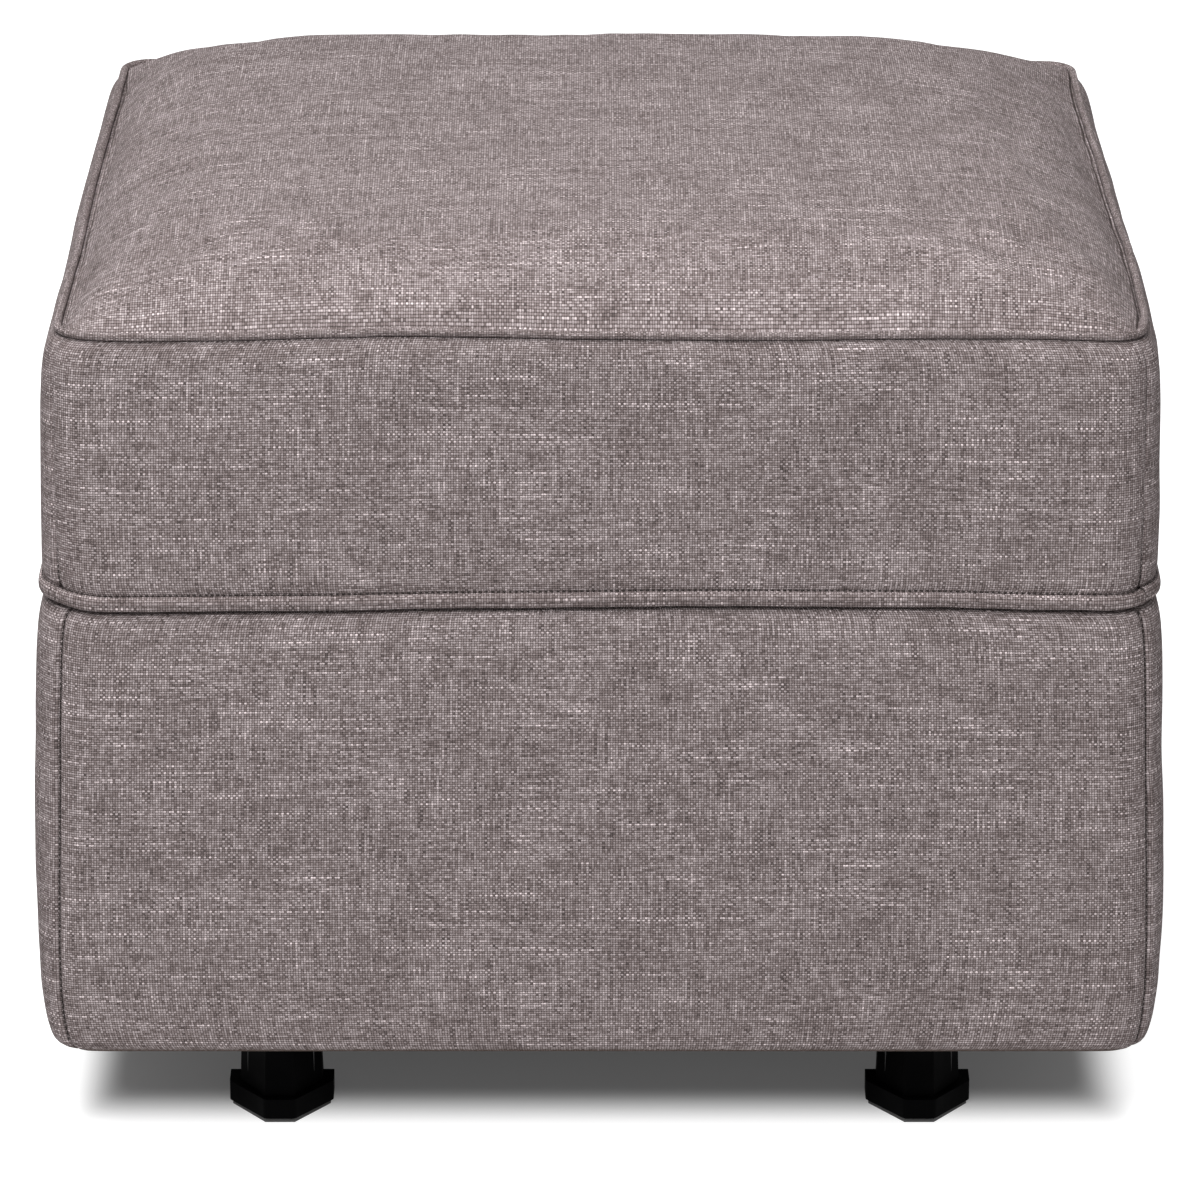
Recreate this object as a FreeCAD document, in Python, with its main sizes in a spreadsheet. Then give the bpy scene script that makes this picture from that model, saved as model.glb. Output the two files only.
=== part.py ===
import FreeCAD, Part
import math
import os
import re
import Sketcher

# Glider ottoman: an upholstered box that hangs on four swing links from a steel floor base.
# The front faces -Y, +Z is up, and the origin lies on the floor under the middle. Millimetres.

SIZES = {
    # Upholstery; the seam is the one under the piping of the top panel
    "seam_half_width": 261.0,
    "seam_half_depth": 236.0,
    "seam_height": 429.5,
    "corner_radius": 28.0,
    "underside_height": 55.0,
    "cover": 2.0,
    "ease": 0.3,
    "turned_edge": 26.0,
    "piping_radius": 2.0,
    "piping_height": 431.2,
    "piping_swell": 2.2,
    "welt_radius": 3.0,
    "welt_height": 296.0,
    "welt_swell": 12.2,
    # Wooden frame inside the upholstery
    "panel_width": 258.0,
    "panel_depth": 232.0,
    "panel_wall": 15.0,
    "panel_foot": 57.0,
    "panel_top": 285.0,
    "panel_chamfer": 7.0,
    "block_side": 34.0,
    "block_step": 10.0,
    "ledger_wide": 30.0,
    "ledger_high": 40.0,
    "ledger_reach": 180.0,
    "strap_wide": 50.0,
    "strap_thick": 1.2,
    "strap_gap": 150.0,
    "felt_inset": 3.0,
    "felt_top": 290.0,
    "dust_cloth": 1.0,
    "dust_cover_wide": 244.0,
    "dust_cover_deep": 218.0,
    "plate_clearance": 6.0,
    # Glide geometry, all pivots along X
    "pivot_reach": 85.0,
    "upper_pivot": 180.0,
    "lower_pivot": 75.0,
    "running_gap": 0.05,
    "bearing_radius": 11.0,
    "seat_gap": 0.02,
    "bearing_wide": 7.0,
    # Bolts and nuts; a hole is eight-sided and measured to its corners
    "bolt_radius": 4.0,
    "hole_radius": 4.4,
    "hex_radius": 7.2,
    "head_high": 5.3,
    "nut_high": 6.5,
    "thread_end": 1.5,
    # Floor rails, square channels open at the bottom
    "rail_middle": 162.5,
    "rail_half": 17.0,
    "rail_wall": 2.0,
    "rail_foot": 20.0,
    "rail_top": 44.0,
    "rail_reach": 190.0,
    "member_reach": 110.0,
    "member_half": 15.0,
    "member_foot": 22.0,
    "member_top": 42.0,
    "member_wall": 1.5,
    # Hanger plates and what they carry
    "plate_wall": 3.0,
    "plate_foot": 22.0,
    "plate_top": 197.0,
    "plate_foot_reach": 90.0,
    "plate_top_reach": 103.0,
    "plate_round": 16.0,
    "window_foot": 62.0,
    "window_top": 118.0,
    "window_foot_reach": 60.0,
    "window_top_reach": 66.0,
    "lip_wide": 10.0,
    "lip_taper": 8.0,
    "spacer_long": 10.0,
    "spacer_radius": 7.0,
    "plate_bolt_reach": 70.0,
    "plate_bolt_height": 33.0,
    "bumper_reach": 39.8,
    "bumper_height": 135.3,
    "bumper_radius": 8.0,
    "button_radius": 5.6,
    "button_high": 2.5,
    # Swing links
    "link_half": 12.5,
    "boss_radius": 15.0,
    "link_gap": 0.2,
    "channel_half": 7.0,
    "channel_end": 22.0,
    "channel_deep": 2.2,
    # Carriage rails, angles that hang on the lower pivots
    "carriage_near": 204.5,
    "carriage_wall": 3.0,
    "carriage_foot": 62.0,
    "carriage_top": 106.0,
    "carriage_wide": 38.0,
    "carriage_reach": 140.0,
    "lag_radius": 3.0,
    "lag_long": 24.0,
    "lag_head": 3.5,
    "lag_across": 231.5,
    "lag_reach": 110.0,
    # Boots and floor glides
    "boot_half": 26.5,
    "boot_back": 172.0,
    "boot_shoulder": 186.3,
    "boot_tip": 210.6,
    "boot_tip_half": 7.5,
    "boot_round": 4.0,
    "pad_foot": 2.5,
    "pad_top": 13.0,
    "neck_inset": 5.5,
    "neck_root": 0.5,
    "glide_inset": 1.5,
    "boot_top": 47.0,
}

# Outlines of the covers as stations: the height, how far the side stands out of the seam under
# the piping, and the corner's radius where it isn't the usual one. Linings and foam have fewer.
BOXING = [(299.5, 11.6), (307, 13.4), (335, 13.8), (390, 11.6), (408, 10.6), (421, 8.6), (425.5, 5),
          (429.5, 0)]
BOXING_LINING = [(299.5, 11.6), (307, 13.4), (390, 11.6), (421, 8.6), (429.5, 0)]
BASE = [(55, -1), (56.5, 7), (61, 12.5), (71, 17), (88, 19.4), (112, 20.4), (190, 19.4), (272, 16.2),
        (284, 14.6), (292.5, 11.8)]
BASE_LINING = [(57, 7), (71, 17), (112, 20.4), (190, 19.4), (284, 14.6), (292.5, 11.8)]
CROWN = [(429.5, 0, 28), (437, -5.5, 34), (445, -12.5, 46), (453, -24, 62), (461, -50, 86),
         (466.4, -112, 100)]
CROWN_LINING = [(427.5, 0, 28), (442.6, -12.5, 46), (458.6, -52, 86)]
FOAM_SIDE = [(290, 9), (299.5, 10), (307, 13), (390, 11.2), (421, 8.2), (429.5, 0)]
FOAM_CROWN = [(427.1, 0, 28), (442.2, -12.5, 46), (458.2, -52, 86)]
# The front and back swell less than the sides do
DEPTH_SHARE = 0.6
# A corner seam lies this far outside the corner's centre, along X
SEAM_OFFSET = 12.0
FLATNESS = 0.0001

doc = FreeCAD.newDocument("glider_ottoman")
sheet = doc.addObject("Spreadsheet::Sheet", "sizes")
parts = []


def fill_sheet():
    for row, (name, size) in enumerate(SIZES.items(), start=1):
        sheet.set(f"A{row}", name)
        sheet.set(f"B{row}", str(size))
        sheet.setAlias(f"B{row}", name)
    doc.recompute()


def formula(text):
    """The text with each size's name turned into its cell."""
    return re.sub(r"[a-z_]+", lambda word: f"sizes.{word.group()}" if word.group() in SIZES else word.group(),
                  str(text))


def value(text):
    return float(sheet.evalExpression(formula(text)))


def bind(feature, **formulas):
    for name, text in formulas.items():
        feature.setExpression(name, formula(text))


def place(feature, x, y, z, turn=None):
    if turn:
        feature.Placement = FreeCAD.Placement(FreeCAD.Vector(), turn)
    for axis, text in (("x", x), ("y", y), ("z", z)):
        feature.setExpression(f"Placement.Base.{axis}", formula(text))


def keep(feature, label):
    feature.Label = label
    parts.append(feature)
    return feature


# General builders

ALONG_X = FreeCAD.Rotation(FreeCAD.Vector(0, 1, 0), 90)


def block(name, x, y, z):
    """A box between three pairs of formulas."""
    box = doc.addObject("Part::Box", name)
    bind(box, Length=f"({x[1]}) - ({x[0]})", Width=f"({y[1]}) - ({y[0]})", Height=f"({z[1]}) - ({z[0]})")
    place(box, x[0], y[0], z[0])
    return box


def rod(name, radius, x, spot):
    """A cylinder along X between the pair of formulas x, at the spot (y, z)."""
    cylinder = doc.addObject("Part::Cylinder", name)
    bind(cylinder, Radius=radius, Height=f"({x[1]}) - ({x[0]})")
    place(cylinder, x[0], *spot, ALONG_X)
    return cylinder


def bar(name, sides, radius, x, spot):
    """A prism along X between the pair of formulas x, at the spot (y, z)."""
    prism = doc.addObject("Part::Prism", name)
    prism.Polygon = sides
    bind(prism, Circumradius=radius, Height=f"({x[1]}) - ({x[0]})")
    place(prism, x[0], *spot, ALONG_X)
    return prism


def post(name, sides, radius, spot, z):
    """A prism along Z between the pair of formulas z, at the spot (x, y)."""
    prism = doc.addObject("Part::Prism", name)
    prism.Polygon = sides
    bind(prism, Circumradius=radius, Height=f"({z[1]}) - ({z[0]})")
    place(prism, *spot, z[0])
    return prism


def fuse(name, *shapes):
    fusion = doc.addObject("Part::MultiFuse", name)
    fusion.Shapes = list(shapes)
    return fusion


def cut(name, base, tool):
    difference = doc.addObject("Part::Cut", name)
    difference.Base = base
    difference.Tool = tool
    return difference


def mirror(name, source, normal):
    copy = doc.addObject("Part::Mirroring", name)
    copy.Source = source
    copy.Normal = normal
    return copy


def across(name, source):
    return mirror(name, source, FreeCAD.Vector(1, 0, 0))


def fore_and_aft(name, source):
    return mirror(name, source, FreeCAD.Vector(0, 1, 0))


def group(name, *shapes):
    compound = doc.addObject("Part::Compound", name)
    compound.Links = list(shapes)
    return compound


def keep_four(source, label):
    """The piece and its copies at the other three corners, as one group of separate solids."""
    left = across(f"{label}_left", source)
    keep(group(f"{label}_set", source, left, fore_and_aft(f"{label}_front", source),
               fore_and_aft(f"{label}_front_left", left)), label)


def keep_pair(source, label):
    """The piece is modelled on the right and copied to the left."""
    keep(source, f"{label}_right")
    keep(across(f"{label}_copy", source), f"{label}_left")


def keep_corners(source, label):
    """The piece is modelled at the rear right and copied to the other three corners."""
    left = across(f"{label}_copy", source)
    keep(source, f"{label}_rear_right")
    keep(left, f"{label}_rear_left")
    keep(fore_and_aft(f"{label}_front_copy", source), f"{label}_front_right")
    keep(fore_and_aft(f"{label}_front_left_copy", left), f"{label}_front_left")


# Builders for bodies made from sketches


def new_body(name):
    return doc.addObject("PartDesign::Body", name)


def new_sketch(body, name, role, offset="0"):
    sketch = body.newObject("Sketcher::SketchObject", name)
    plane = next(item for item in body.Origin.OriginFeatures if item.Role == role)
    sketch.AttachmentSupport = [(plane, "")]
    sketch.MapMode = "FlatFace"
    sketch.setExpression("AttachmentOffset.Base.z", formula(offset))
    return sketch


def pin_down(sketch, edge, point, spot):
    for kind, text in (("DistanceX", spot[0]), ("DistanceY", spot[1])):
        index = sketch.addConstraint(Sketcher.Constraint(kind, edge, point, value(text)))
        sketch.setExpression(f"Constraints[{index}]", formula(text))


def polygon(sketch, *corners):
    first = sketch.GeometryCount
    spots = [FreeCAD.Vector(value(sideways), value(upward), 0) for sideways, upward in corners]
    for index, spot in enumerate(spots):
        sketch.addGeometry(Part.LineSegment(spot, spots[(index + 1) % len(spots)]))
    for index, corner in enumerate(corners):
        following = first + (index + 1) % len(corners)
        sketch.addConstraint(Sketcher.Constraint("Coincident", first + index, 2, following, 1))
        pin_down(sketch, first + index, 1, corner)


def circle(sketch, radius, spot):
    centre = FreeCAD.Vector(value(spot[0]), value(spot[1]), 0)
    edge = sketch.addGeometry(Part.Circle(centre, FreeCAD.Vector(0, 0, 1), value(radius)))
    pin_down(sketch, edge, 3, spot)
    index = sketch.addConstraint(Sketcher.Constraint("Radius", edge, value(radius)))
    sketch.setExpression(f"Constraints[{index}]", formula(radius))


def octagon(sketch, radius, spot):
    """An eight-sided hole with a corner on the sketch's first axis."""
    corners = []
    for corner in range(8):
        turn = math.radians(45 * corner)
        corners.append((f"{spot[0]} + {radius} * {math.cos(turn):.5f}",
                        f"{spot[1]} + {radius} * {math.sin(turn):.5f}"))
    polygon(sketch, *corners)


def pad(body, name, sketch, length, both_ways=False, taper=0):
    feature = body.newObject("PartDesign::Pad", name)
    feature.Profile = sketch
    bind(feature, Length=length)
    feature.SideType = "Symmetric" if both_ways else "One side"
    feature.TaperAngle = taper
    return feature


def pocket(body, name, sketch, length):
    """Cuts half the length to each side of the sketch's plane."""
    feature = body.newObject("PartDesign::Pocket", name)
    feature.Profile = sketch
    bind(feature, Length=length)
    feature.SideType = "Symmetric"
    return feature


def soften(body, name, base, radius, wanted):
    """Rounds the edges of a feature that the test picks."""
    doc.recompute()
    edges = [f"Edge{index}" for index, edge in enumerate(base.Shape.Edges, start=1) if wanted(edge)]
    feature = body.newObject("PartDesign::Fillet", name)
    feature.Base = (base, edges)
    bind(feature, Radius=radius)
    return feature


# Floor base


def floor_rail():
    body = new_body("floor_rail")
    section = new_sketch(body, "floor_rail_section", "XZ_Plane")
    outer = ("rail_middle - rail_half", "rail_middle + rail_half")
    inner = (f"{outer[0]} + rail_wall", f"{outer[1]} - rail_wall")
    polygon(section, (outer[0], "rail_foot"), (outer[0], "rail_top"), (outer[1], "rail_top"),
            (outer[1], "rail_foot"), (inner[1], "rail_foot"), (inner[1], "rail_top - rail_wall"),
            (inner[0], "rail_top - rail_wall"), (inner[0], "rail_foot"))
    pad(body, "floor_rail_length", section, "2 * rail_reach", both_ways=True)
    holes = new_sketch(body, "floor_rail_holes", "YZ_Plane", outer[1])
    for side in ("-", ""):
        octagon(holes, "bolt_radius", (f"{side}plate_bolt_reach", "plate_bolt_height"))
    pocket(body, "floor_rail_bolt_holes", holes, "4 * rail_wall")
    keep_pair(body, "floor_rail")


def cross_member():
    body = new_body("cross_member")
    section = new_sketch(body, "cross_member_section", "YZ_Plane")
    for wall in ("0", "member_wall"):
        near = f"member_reach - member_half + {wall}"
        far = f"member_reach + member_half - {wall}"
        polygon(section, (near, f"member_foot + {wall}"), (far, f"member_foot + {wall}"),
                (far, f"member_top - {wall}"), (near, f"member_top - {wall}"))
    pad(body, "cross_member_length", section, "2 * (rail_middle - rail_half)", both_ways=True)
    keep(body, "cross_member_rear")
    keep(fore_and_aft("cross_member_copy", body), "cross_member_front")


PLATE_NEAR = "rail_middle + rail_half"
PLATE_FAR = f"{PLATE_NEAR} + plate_wall"
SPACER_FAR = f"{PLATE_FAR} + spacer_long"
BEARING_NEAR = f"{SPACER_FAR} + link_gap"
BEARING_FAR = f"{BEARING_NEAR} + bearing_wide"
LINK_MIDDLE = f"{BEARING_NEAR} + bearing_wide / 2"
LINK_FAR = f"{BEARING_FAR} + link_gap"
CARRIAGE_FAR = "carriage_near + carriage_wall"
UPPER_SPOT = ("pivot_reach", "upper_pivot")
LOWER_SPOT = ("pivot_reach", "lower_pivot")


def hanger_plate():
    body = new_body("hanger_plate")
    outline = new_sketch(body, "hanger_plate_outline", "YZ_Plane", PLATE_NEAR)
    polygon(outline, ("-plate_foot_reach", "plate_foot"), ("plate_foot_reach", "plate_foot"),
            ("plate_top_reach", "plate_top"), ("-plate_top_reach", "plate_top"))
    polygon(outline, ("-window_foot_reach", "window_foot"), ("window_foot_reach", "window_foot"),
            ("window_top_reach", "window_top"), ("-window_top_reach", "window_top"))
    blank = pad(body, "hanger_plate_blank", outline, "plate_wall")
    soften(body, "hanger_plate_corners", blank, "plate_round",
           lambda edge: abs(edge.BoundBox.XLength - value("plate_wall")) < 0.01)
    lip = new_sketch(body, "hanger_plate_lip_outline", "XY_Plane", "plate_top - plate_wall")
    inner = f"{PLATE_NEAR} - lip_wide"
    polygon(lip, (inner, "lip_taper - pivot_reach"), (PLATE_NEAR, "-pivot_reach"),
            (PLATE_NEAR, "pivot_reach"), (inner, "pivot_reach - lip_taper"))
    doc.recompute()
    pad(body, "hanger_plate_lip", lip, "plate_wall")
    holes = new_sketch(body, "hanger_plate_holes", "YZ_Plane", PLATE_NEAR)
    for side in ("-", ""):
        octagon(holes, "hole_radius", (f"{side}pivot_reach", "upper_pivot"))
        octagon(holes, "bolt_radius", (f"{side}plate_bolt_reach", "plate_bolt_height"))
        octagon(holes, "bolt_radius", (f"{side}bumper_reach", "bumper_height"))
    pocket(body, "hanger_plate_openings", holes, "4 * plate_wall")
    keep_pair(body, "hanger_plate")


def sleeve(name, radius, x, spot):
    """A six-sided nut or spacer round a bolt, with an eight-sided bore."""
    return cut(name, bar(f"{name}_blank", 6, radius, x, spot), bar(f"{name}_bore", 8, "hole_radius", x, spot))


def pivot_bolt(name, under_head, under_nut, spot):
    """Its shank is round, because the bearing turns on it, and it ends past the nut."""
    return fuse(name, bar(f"{name}_head", 6, "hex_radius", (f"{under_head} - head_high", under_head), spot),
                rod(f"{name}_shank", "bolt_radius", (under_head, f"{under_nut} + nut_high + thread_end"),
                    spot))


def plate_bolts():
    spot = ("plate_bolt_reach", "plate_bolt_height")
    inside = f"{PLATE_NEAR} - rail_wall"
    thread = bar("plate_bolt_thread", 8, "bolt_radius", (f"{inside} - nut_high - thread_end", PLATE_FAR), spot)
    head = bar("plate_bolt_head", 6, "hex_radius", (PLATE_FAR, f"{PLATE_FAR} + head_high"), spot)
    keep_four(fuse("plate_bolt", thread, head), "hanger_plate_bolts")
    keep_four(sleeve("plate_nut", "hex_radius", (f"{inside} - nut_high", inside), spot), "hanger_plate_nuts")


def upper_pivots():
    keep_four(pivot_bolt("upper_bolt", PLATE_NEAR, LINK_FAR, UPPER_SPOT), "upper_pivot_bolts")
    keep_four(sleeve("upper_spacer", "spacer_radius", (PLATE_FAR, SPACER_FAR), UPPER_SPOT),
              "upper_pivot_spacers")
    keep_four(sleeve("upper_nut", "hex_radius", (LINK_FAR, f"{LINK_FAR} + nut_high"), UPPER_SPOT),
              "upper_pivot_nuts")


def travel_bumpers():
    """Rubber stops that the links' arms meet a little past the end of the travel."""
    spot = ("bumper_reach", "bumper_height")
    rubber = bar("bumper_rubber", 8, "bumper_radius", (PLATE_FAR, LINK_FAR), spot)
    stem = bar("bumper_stem", 8, "bolt_radius", (PLATE_NEAR, PLATE_FAR), spot)
    button = bar("bumper_button", 8, "button_radius", (f"{PLATE_NEAR} - button_high", PLATE_NEAR), spot)
    keep_four(fuse("bumper", rubber, stem, button), "travel_bumpers")


def bow(inset):
    """Corners of the blunt-nosed outline that pad and neck share, set in all round but at the back."""
    left = f"rail_middle - boot_half + {inset}"
    right = f"rail_middle + boot_half - {inset}"
    shoulder = f"boot_shoulder - 0.4 * {inset}"
    tip = f"boot_tip - {inset}"
    return [(left, "boot_back"), (right, "boot_back"), (right, shoulder), ("rail_middle + boot_tip_half", tip),
            ("rail_middle - boot_tip_half", tip), (left, shoulder)]


def boot():
    body = new_body("boot")
    outline = new_sketch(body, "boot_pad_outline", "XY_Plane", "pad_foot")
    polygon(outline, *bow("0"))
    blank = pad(body, "boot_pad", outline, "pad_top - pad_foot")
    soften(body, "boot_pad_corners", blank, "boot_round",
           lambda edge: edge.BoundBox.ZLength > 2 and edge.CenterOfMass.y > value("boot_back + boot_round"))
    neck = new_sketch(body, "boot_neck_outline", "XY_Plane", "pad_top - neck_root")
    polygon(neck, *bow("neck_inset"))
    doc.recompute()
    pad(body, "boot_neck", neck, "boot_top - pad_top + neck_root", taper=-2)
    cavity = new_sketch(body, "boot_cavity_outline", "XZ_Plane")
    sides = ("rail_middle - rail_half", "rail_middle + rail_half")
    polygon(cavity, (sides[0], "rail_foot"), (sides[1], "rail_foot"), (sides[1], "rail_top"),
            (sides[0], "rail_top"))
    pocket(body, "boot_cavity", cavity, "2 * rail_reach")
    keep_corners(body, "boot")


def floor_glides():
    body = new_body("floor_glide")
    outline = new_sketch(body, "floor_glide_outline", "XY_Plane")
    polygon(outline, *bow("glide_inset"))
    pad(body, "floor_glide_pad", outline, "pad_foot")
    keep_four(body, "floor_glides")


# Swing links


def swing_link():
    body = new_body("swing_link")
    near = "pivot_reach - link_half"
    far = "pivot_reach + link_half"
    web = new_sketch(body, "swing_link_web", "YZ_Plane", LINK_MIDDLE)
    polygon(web, (near, "lower_pivot"), (far, "lower_pivot"), (far, "upper_pivot"), (near, "upper_pivot"))
    pad(body, "swing_link_arm", web, "bearing_wide", both_ways=True)
    for end, spot in (("upper", UPPER_SPOT), ("lower", LOWER_SPOT)):
        ring = new_sketch(body, f"swing_link_{end}_ring", "YZ_Plane", LINK_MIDDLE)
        circle(ring, "boss_radius", spot)
        pad(body, f"swing_link_{end}_boss", ring, "bearing_wide", both_ways=True)
    bores = new_sketch(body, "swing_link_bores", "YZ_Plane", LINK_MIDDLE)
    for spot in (UPPER_SPOT, LOWER_SPOT):
        circle(bores, "bearing_radius", spot)
    pocket(body, "swing_link_bearing_seats", bores, "2 * bearing_wide")
    for name, side in (("inner", "-"), ("outer", "+")):
        channel = new_sketch(body, f"swing_link_{name}_channel", "YZ_Plane",
                             f"{LINK_MIDDLE} {side} bearing_wide / 2")
        polygon(channel, ("pivot_reach - channel_half", "lower_pivot + channel_end"),
                ("pivot_reach + channel_half", "lower_pivot + channel_end"),
                ("pivot_reach + channel_half", "upper_pivot - channel_end"),
                ("pivot_reach - channel_half", "upper_pivot - channel_end"))
        pocket(body, f"swing_link_{name}_recess", channel, "2 * channel_deep")
    keep_corners(body, "swing_link")


def link_bearings():
    """Each ring seats in its link with a hair of room and turns on its bolt's shank."""
    rings = []
    for end, spot in (("upper", UPPER_SPOT), ("lower", LOWER_SPOT)):
        blank = rod(f"{end}_bearing_blank", "bearing_radius - seat_gap", (BEARING_NEAR, BEARING_FAR), spot)
        bore = rod(f"{end}_bearing_bore", "bolt_radius + running_gap", (BEARING_NEAR, BEARING_FAR), spot)
        rings.append(cut(f"{end}_bearing", blank, bore))
    keep_corners(group("bearing_pair", *rings), "link_bearings")


# Carriage inside the upholstered body


def carriage_rail():
    body = new_body("carriage_rail")
    section = new_sketch(body, "carriage_rail_section", "XZ_Plane")
    far = "carriage_near + carriage_wide"
    polygon(section, ("carriage_near", "carriage_foot"), (CARRIAGE_FAR, "carriage_foot"),
            (CARRIAGE_FAR, "carriage_top - carriage_wall"), (far, "carriage_top - carriage_wall"),
            (far, "carriage_top"), ("carriage_near", "carriage_top"))
    pad(body, "carriage_rail_length", section, "2 * carriage_reach", both_ways=True)
    pivots = new_sketch(body, "carriage_rail_pivots", "YZ_Plane", "carriage_near")
    screws = new_sketch(body, "carriage_rail_screws", "XY_Plane", "carriage_top")
    for side in ("-", ""):
        octagon(pivots, "hole_radius", (f"{side}pivot_reach", "lower_pivot"))
        octagon(screws, "lag_radius", ("lag_across", f"{side}lag_reach"))
    pocket(body, "carriage_rail_pivot_holes", pivots, "4 * carriage_wall")
    pocket(body, "carriage_rail_screw_holes", screws, "4 * carriage_wall")
    keep_pair(body, "carriage_rail")


def lag_screws():
    spot = ("lag_across", "lag_reach")
    under = "carriage_top - carriage_wall"
    shank = post("lag_shank", 8, "lag_radius", spot, (under, "carriage_top + lag_long"))
    head = post("lag_head", 6, "2 * lag_radius", spot, (f"{under} - lag_head", under))
    keep_four(fuse("lag_screw", shank, head), "lag_screws")


def lower_pivots():
    keep_four(pivot_bolt("lower_bolt", SPACER_FAR, CARRIAGE_FAR, LOWER_SPOT), "lower_pivot_bolts")
    keep_four(sleeve("lower_spacer", "spacer_radius", (LINK_FAR, "carriage_near"), LOWER_SPOT),
              "lower_pivot_spacers")
    keep_four(sleeve("lower_nut", "hex_radius", (CARRIAGE_FAR, f"{CARRIAGE_FAR} + nut_high"), LOWER_SPOT),
              "lower_pivot_nuts")


# Wooden frame and seat deck


def side_panels():
    panel = block("side_panel", ("panel_width - panel_wall", "panel_width"),
                  ("panel_wall - panel_depth", "panel_depth - panel_wall"), ("panel_foot", "panel_top"))
    keep_pair(panel, "frame_panel")


def end_panels():
    """Their outer corners are cut back, so that they don't press through the cover."""
    body = new_body("end_panel")
    outline = new_sketch(body, "end_panel_outline", "XY_Plane", "panel_foot")
    inner, outer, cut_back = "panel_depth - panel_wall", "panel_depth", "panel_depth - panel_chamfer"
    polygon(outline, ("-panel_width", inner), ("panel_width", inner), ("panel_width", cut_back),
            ("panel_width - panel_chamfer", outer), ("panel_chamfer - panel_width", outer),
            ("-panel_width", cut_back))
    pad(body, "end_panel_height", outline, "panel_top - panel_foot")
    keep(body, "frame_panel_back")
    keep(fore_and_aft("end_panel_copy", body), "frame_panel_front")


def corner_blocks():
    body = new_body("corner_block")
    outline = new_sketch(body, "corner_block_outline", "XY_Plane", "panel_foot + block_step")
    across_corner, deep_corner = "panel_width - panel_wall", "panel_depth - panel_wall"
    polygon(outline, (across_corner, deep_corner), (f"{across_corner} - block_side", deep_corner),
            (f"{across_corner} - block_side", f"{deep_corner} - block_step"),
            (f"{across_corner} - block_step", f"{deep_corner} - block_side"),
            (across_corner, f"{deep_corner} - block_side"))
    pad(body, "corner_block_height", outline, "panel_top - panel_foot - 2 * block_step")
    keep_four(body, "corner_blocks")


def ledger():
    body = new_body("ledger")
    outline = new_sketch(body, "ledger_outline", "XY_Plane", "carriage_top")
    near, far = "panel_width - panel_wall - ledger_wide", "panel_width - panel_wall"
    polygon(outline, (near, "-ledger_reach"), (far, "-ledger_reach"), (far, "ledger_reach"),
            (near, "ledger_reach"))
    pad(body, "ledger_height", outline, "ledger_high")
    holes = new_sketch(body, "ledger_holes", "XY_Plane", "carriage_top")
    for side in ("-", ""):
        octagon(holes, "lag_radius", ("lag_across", f"{side}lag_reach"))
    pocket(body, "ledger_screw_holes", holes, "2 * lag_long")
    keep_pair(body, "ledger")


def webbing():
    lengthwise = ("-panel_depth", "panel_depth")
    crosswise = ("-panel_width", "panel_width")
    for label, layer in (("webbing_lengthwise", 0), ("webbing_crosswise", 1)):
        height = (f"panel_top + {layer} * strap_thick", f"panel_top + {layer + 1} * strap_thick")
        straps = []
        for place_in_row in (-1, 0, 1):
            middle = f"{place_in_row} * strap_gap"
            width = (f"{middle} - strap_wide / 2", f"{middle} + strap_wide / 2")
            x, y = (crosswise, width) if layer else (width, lengthwise)
            straps.append(block(f"{label}_strap", x, y, height))
        keep(group(f"{label}_set", *straps), label)


def felt_pad():
    keep(block("felt", ("felt_inset - panel_width", "panel_width - felt_inset"),
               ("felt_inset - panel_depth", "panel_depth - felt_inset"),
               ("panel_top + 2 * strap_thick", "felt_top")), "felt_pad")


def dust_cover():
    """Three cloth panels, parted where the hanger plates pass."""
    height = ("underside_height - dust_cloth", "underside_height")
    depth = ("-dust_cover_deep", "dust_cover_deep")
    near = f"{PLATE_NEAR} - plate_clearance"
    middle = block("dust_cloth_middle", (f"-({near})", near), depth, height)
    side = block("dust_cloth_side", (f"{PLATE_FAR} + plate_clearance", "dust_cover_wide"), depth, height)
    keep(group("dust_cloths", middle, side, across("dust_cloth_other_side", side)), "dust_cover")


# Soft covers, lofted through rounded rectangles


def outline_wire(station, inward):
    """A rounded rectangle at one station, drawn in by inward all round."""
    height, swell, *own_radius = station
    radius = (own_radius[0] if own_radius else value("corner_radius")) - inward
    half_x = value("seam_half_width") + swell - inward
    half_y = value("seam_half_depth") + (swell * DEPTH_SHARE if swell > 0 else swell) - inward
    middle = math.sqrt(0.5) * radius
    edges = []
    for turn in range(4):
        sign_x, sign_y = ((1, 1), (-1, 1), (-1, -1), (1, -1))[turn]
        next_x, next_y = ((-1, 1), (-1, -1), (1, -1), (1, 1))[turn]
        centre = FreeCAD.Vector(sign_x * (half_x - radius), sign_y * (half_y - radius), height)
        beside = FreeCAD.Vector(sign_x * radius, 0, 0)
        ahead = FreeCAD.Vector(0, sign_y * radius, 0)
        start, finish = (beside, ahead) if turn % 2 == 0 else (ahead, beside)
        half_way = FreeCAD.Vector(sign_x * middle, sign_y * middle, 0)
        edges.append(Part.Arc(centre + start, centre + half_way, centre + finish).toShape())
        following = FreeCAD.Vector(next_x * (half_x - radius), next_y * (half_y - radius), height)
        edges.append(Part.LineSegment(centre + finish, following + finish).toShape())
    return Part.Wire(edges)


def loft(stations, inward=0.0):
    """Straight between its stations, with true planes for its flat sides."""
    faces = []
    for face in Part.makeLoft([outline_wire(station, inward) for station in stations], True, True).Faces:
        corners = [vertex.Point for vertex in face.OuterWire.OrderedVertexes]
        flat_side = len(corners) == 4 and face.findPlane(FLATNESS)
        faces.append(Part.Face(Part.makePolygon(corners + corners[:1])) if flat_side else face)
    shell = Part.Shell(faces)
    shell.sewShape()
    return Part.Solid(shell)


def box_between(half_x, half_y, low, high):
    return Part.makeBox(2 * half_x, 2 * half_y, high - low, FreeCAD.Vector(-half_x, -half_y, low))


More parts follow.
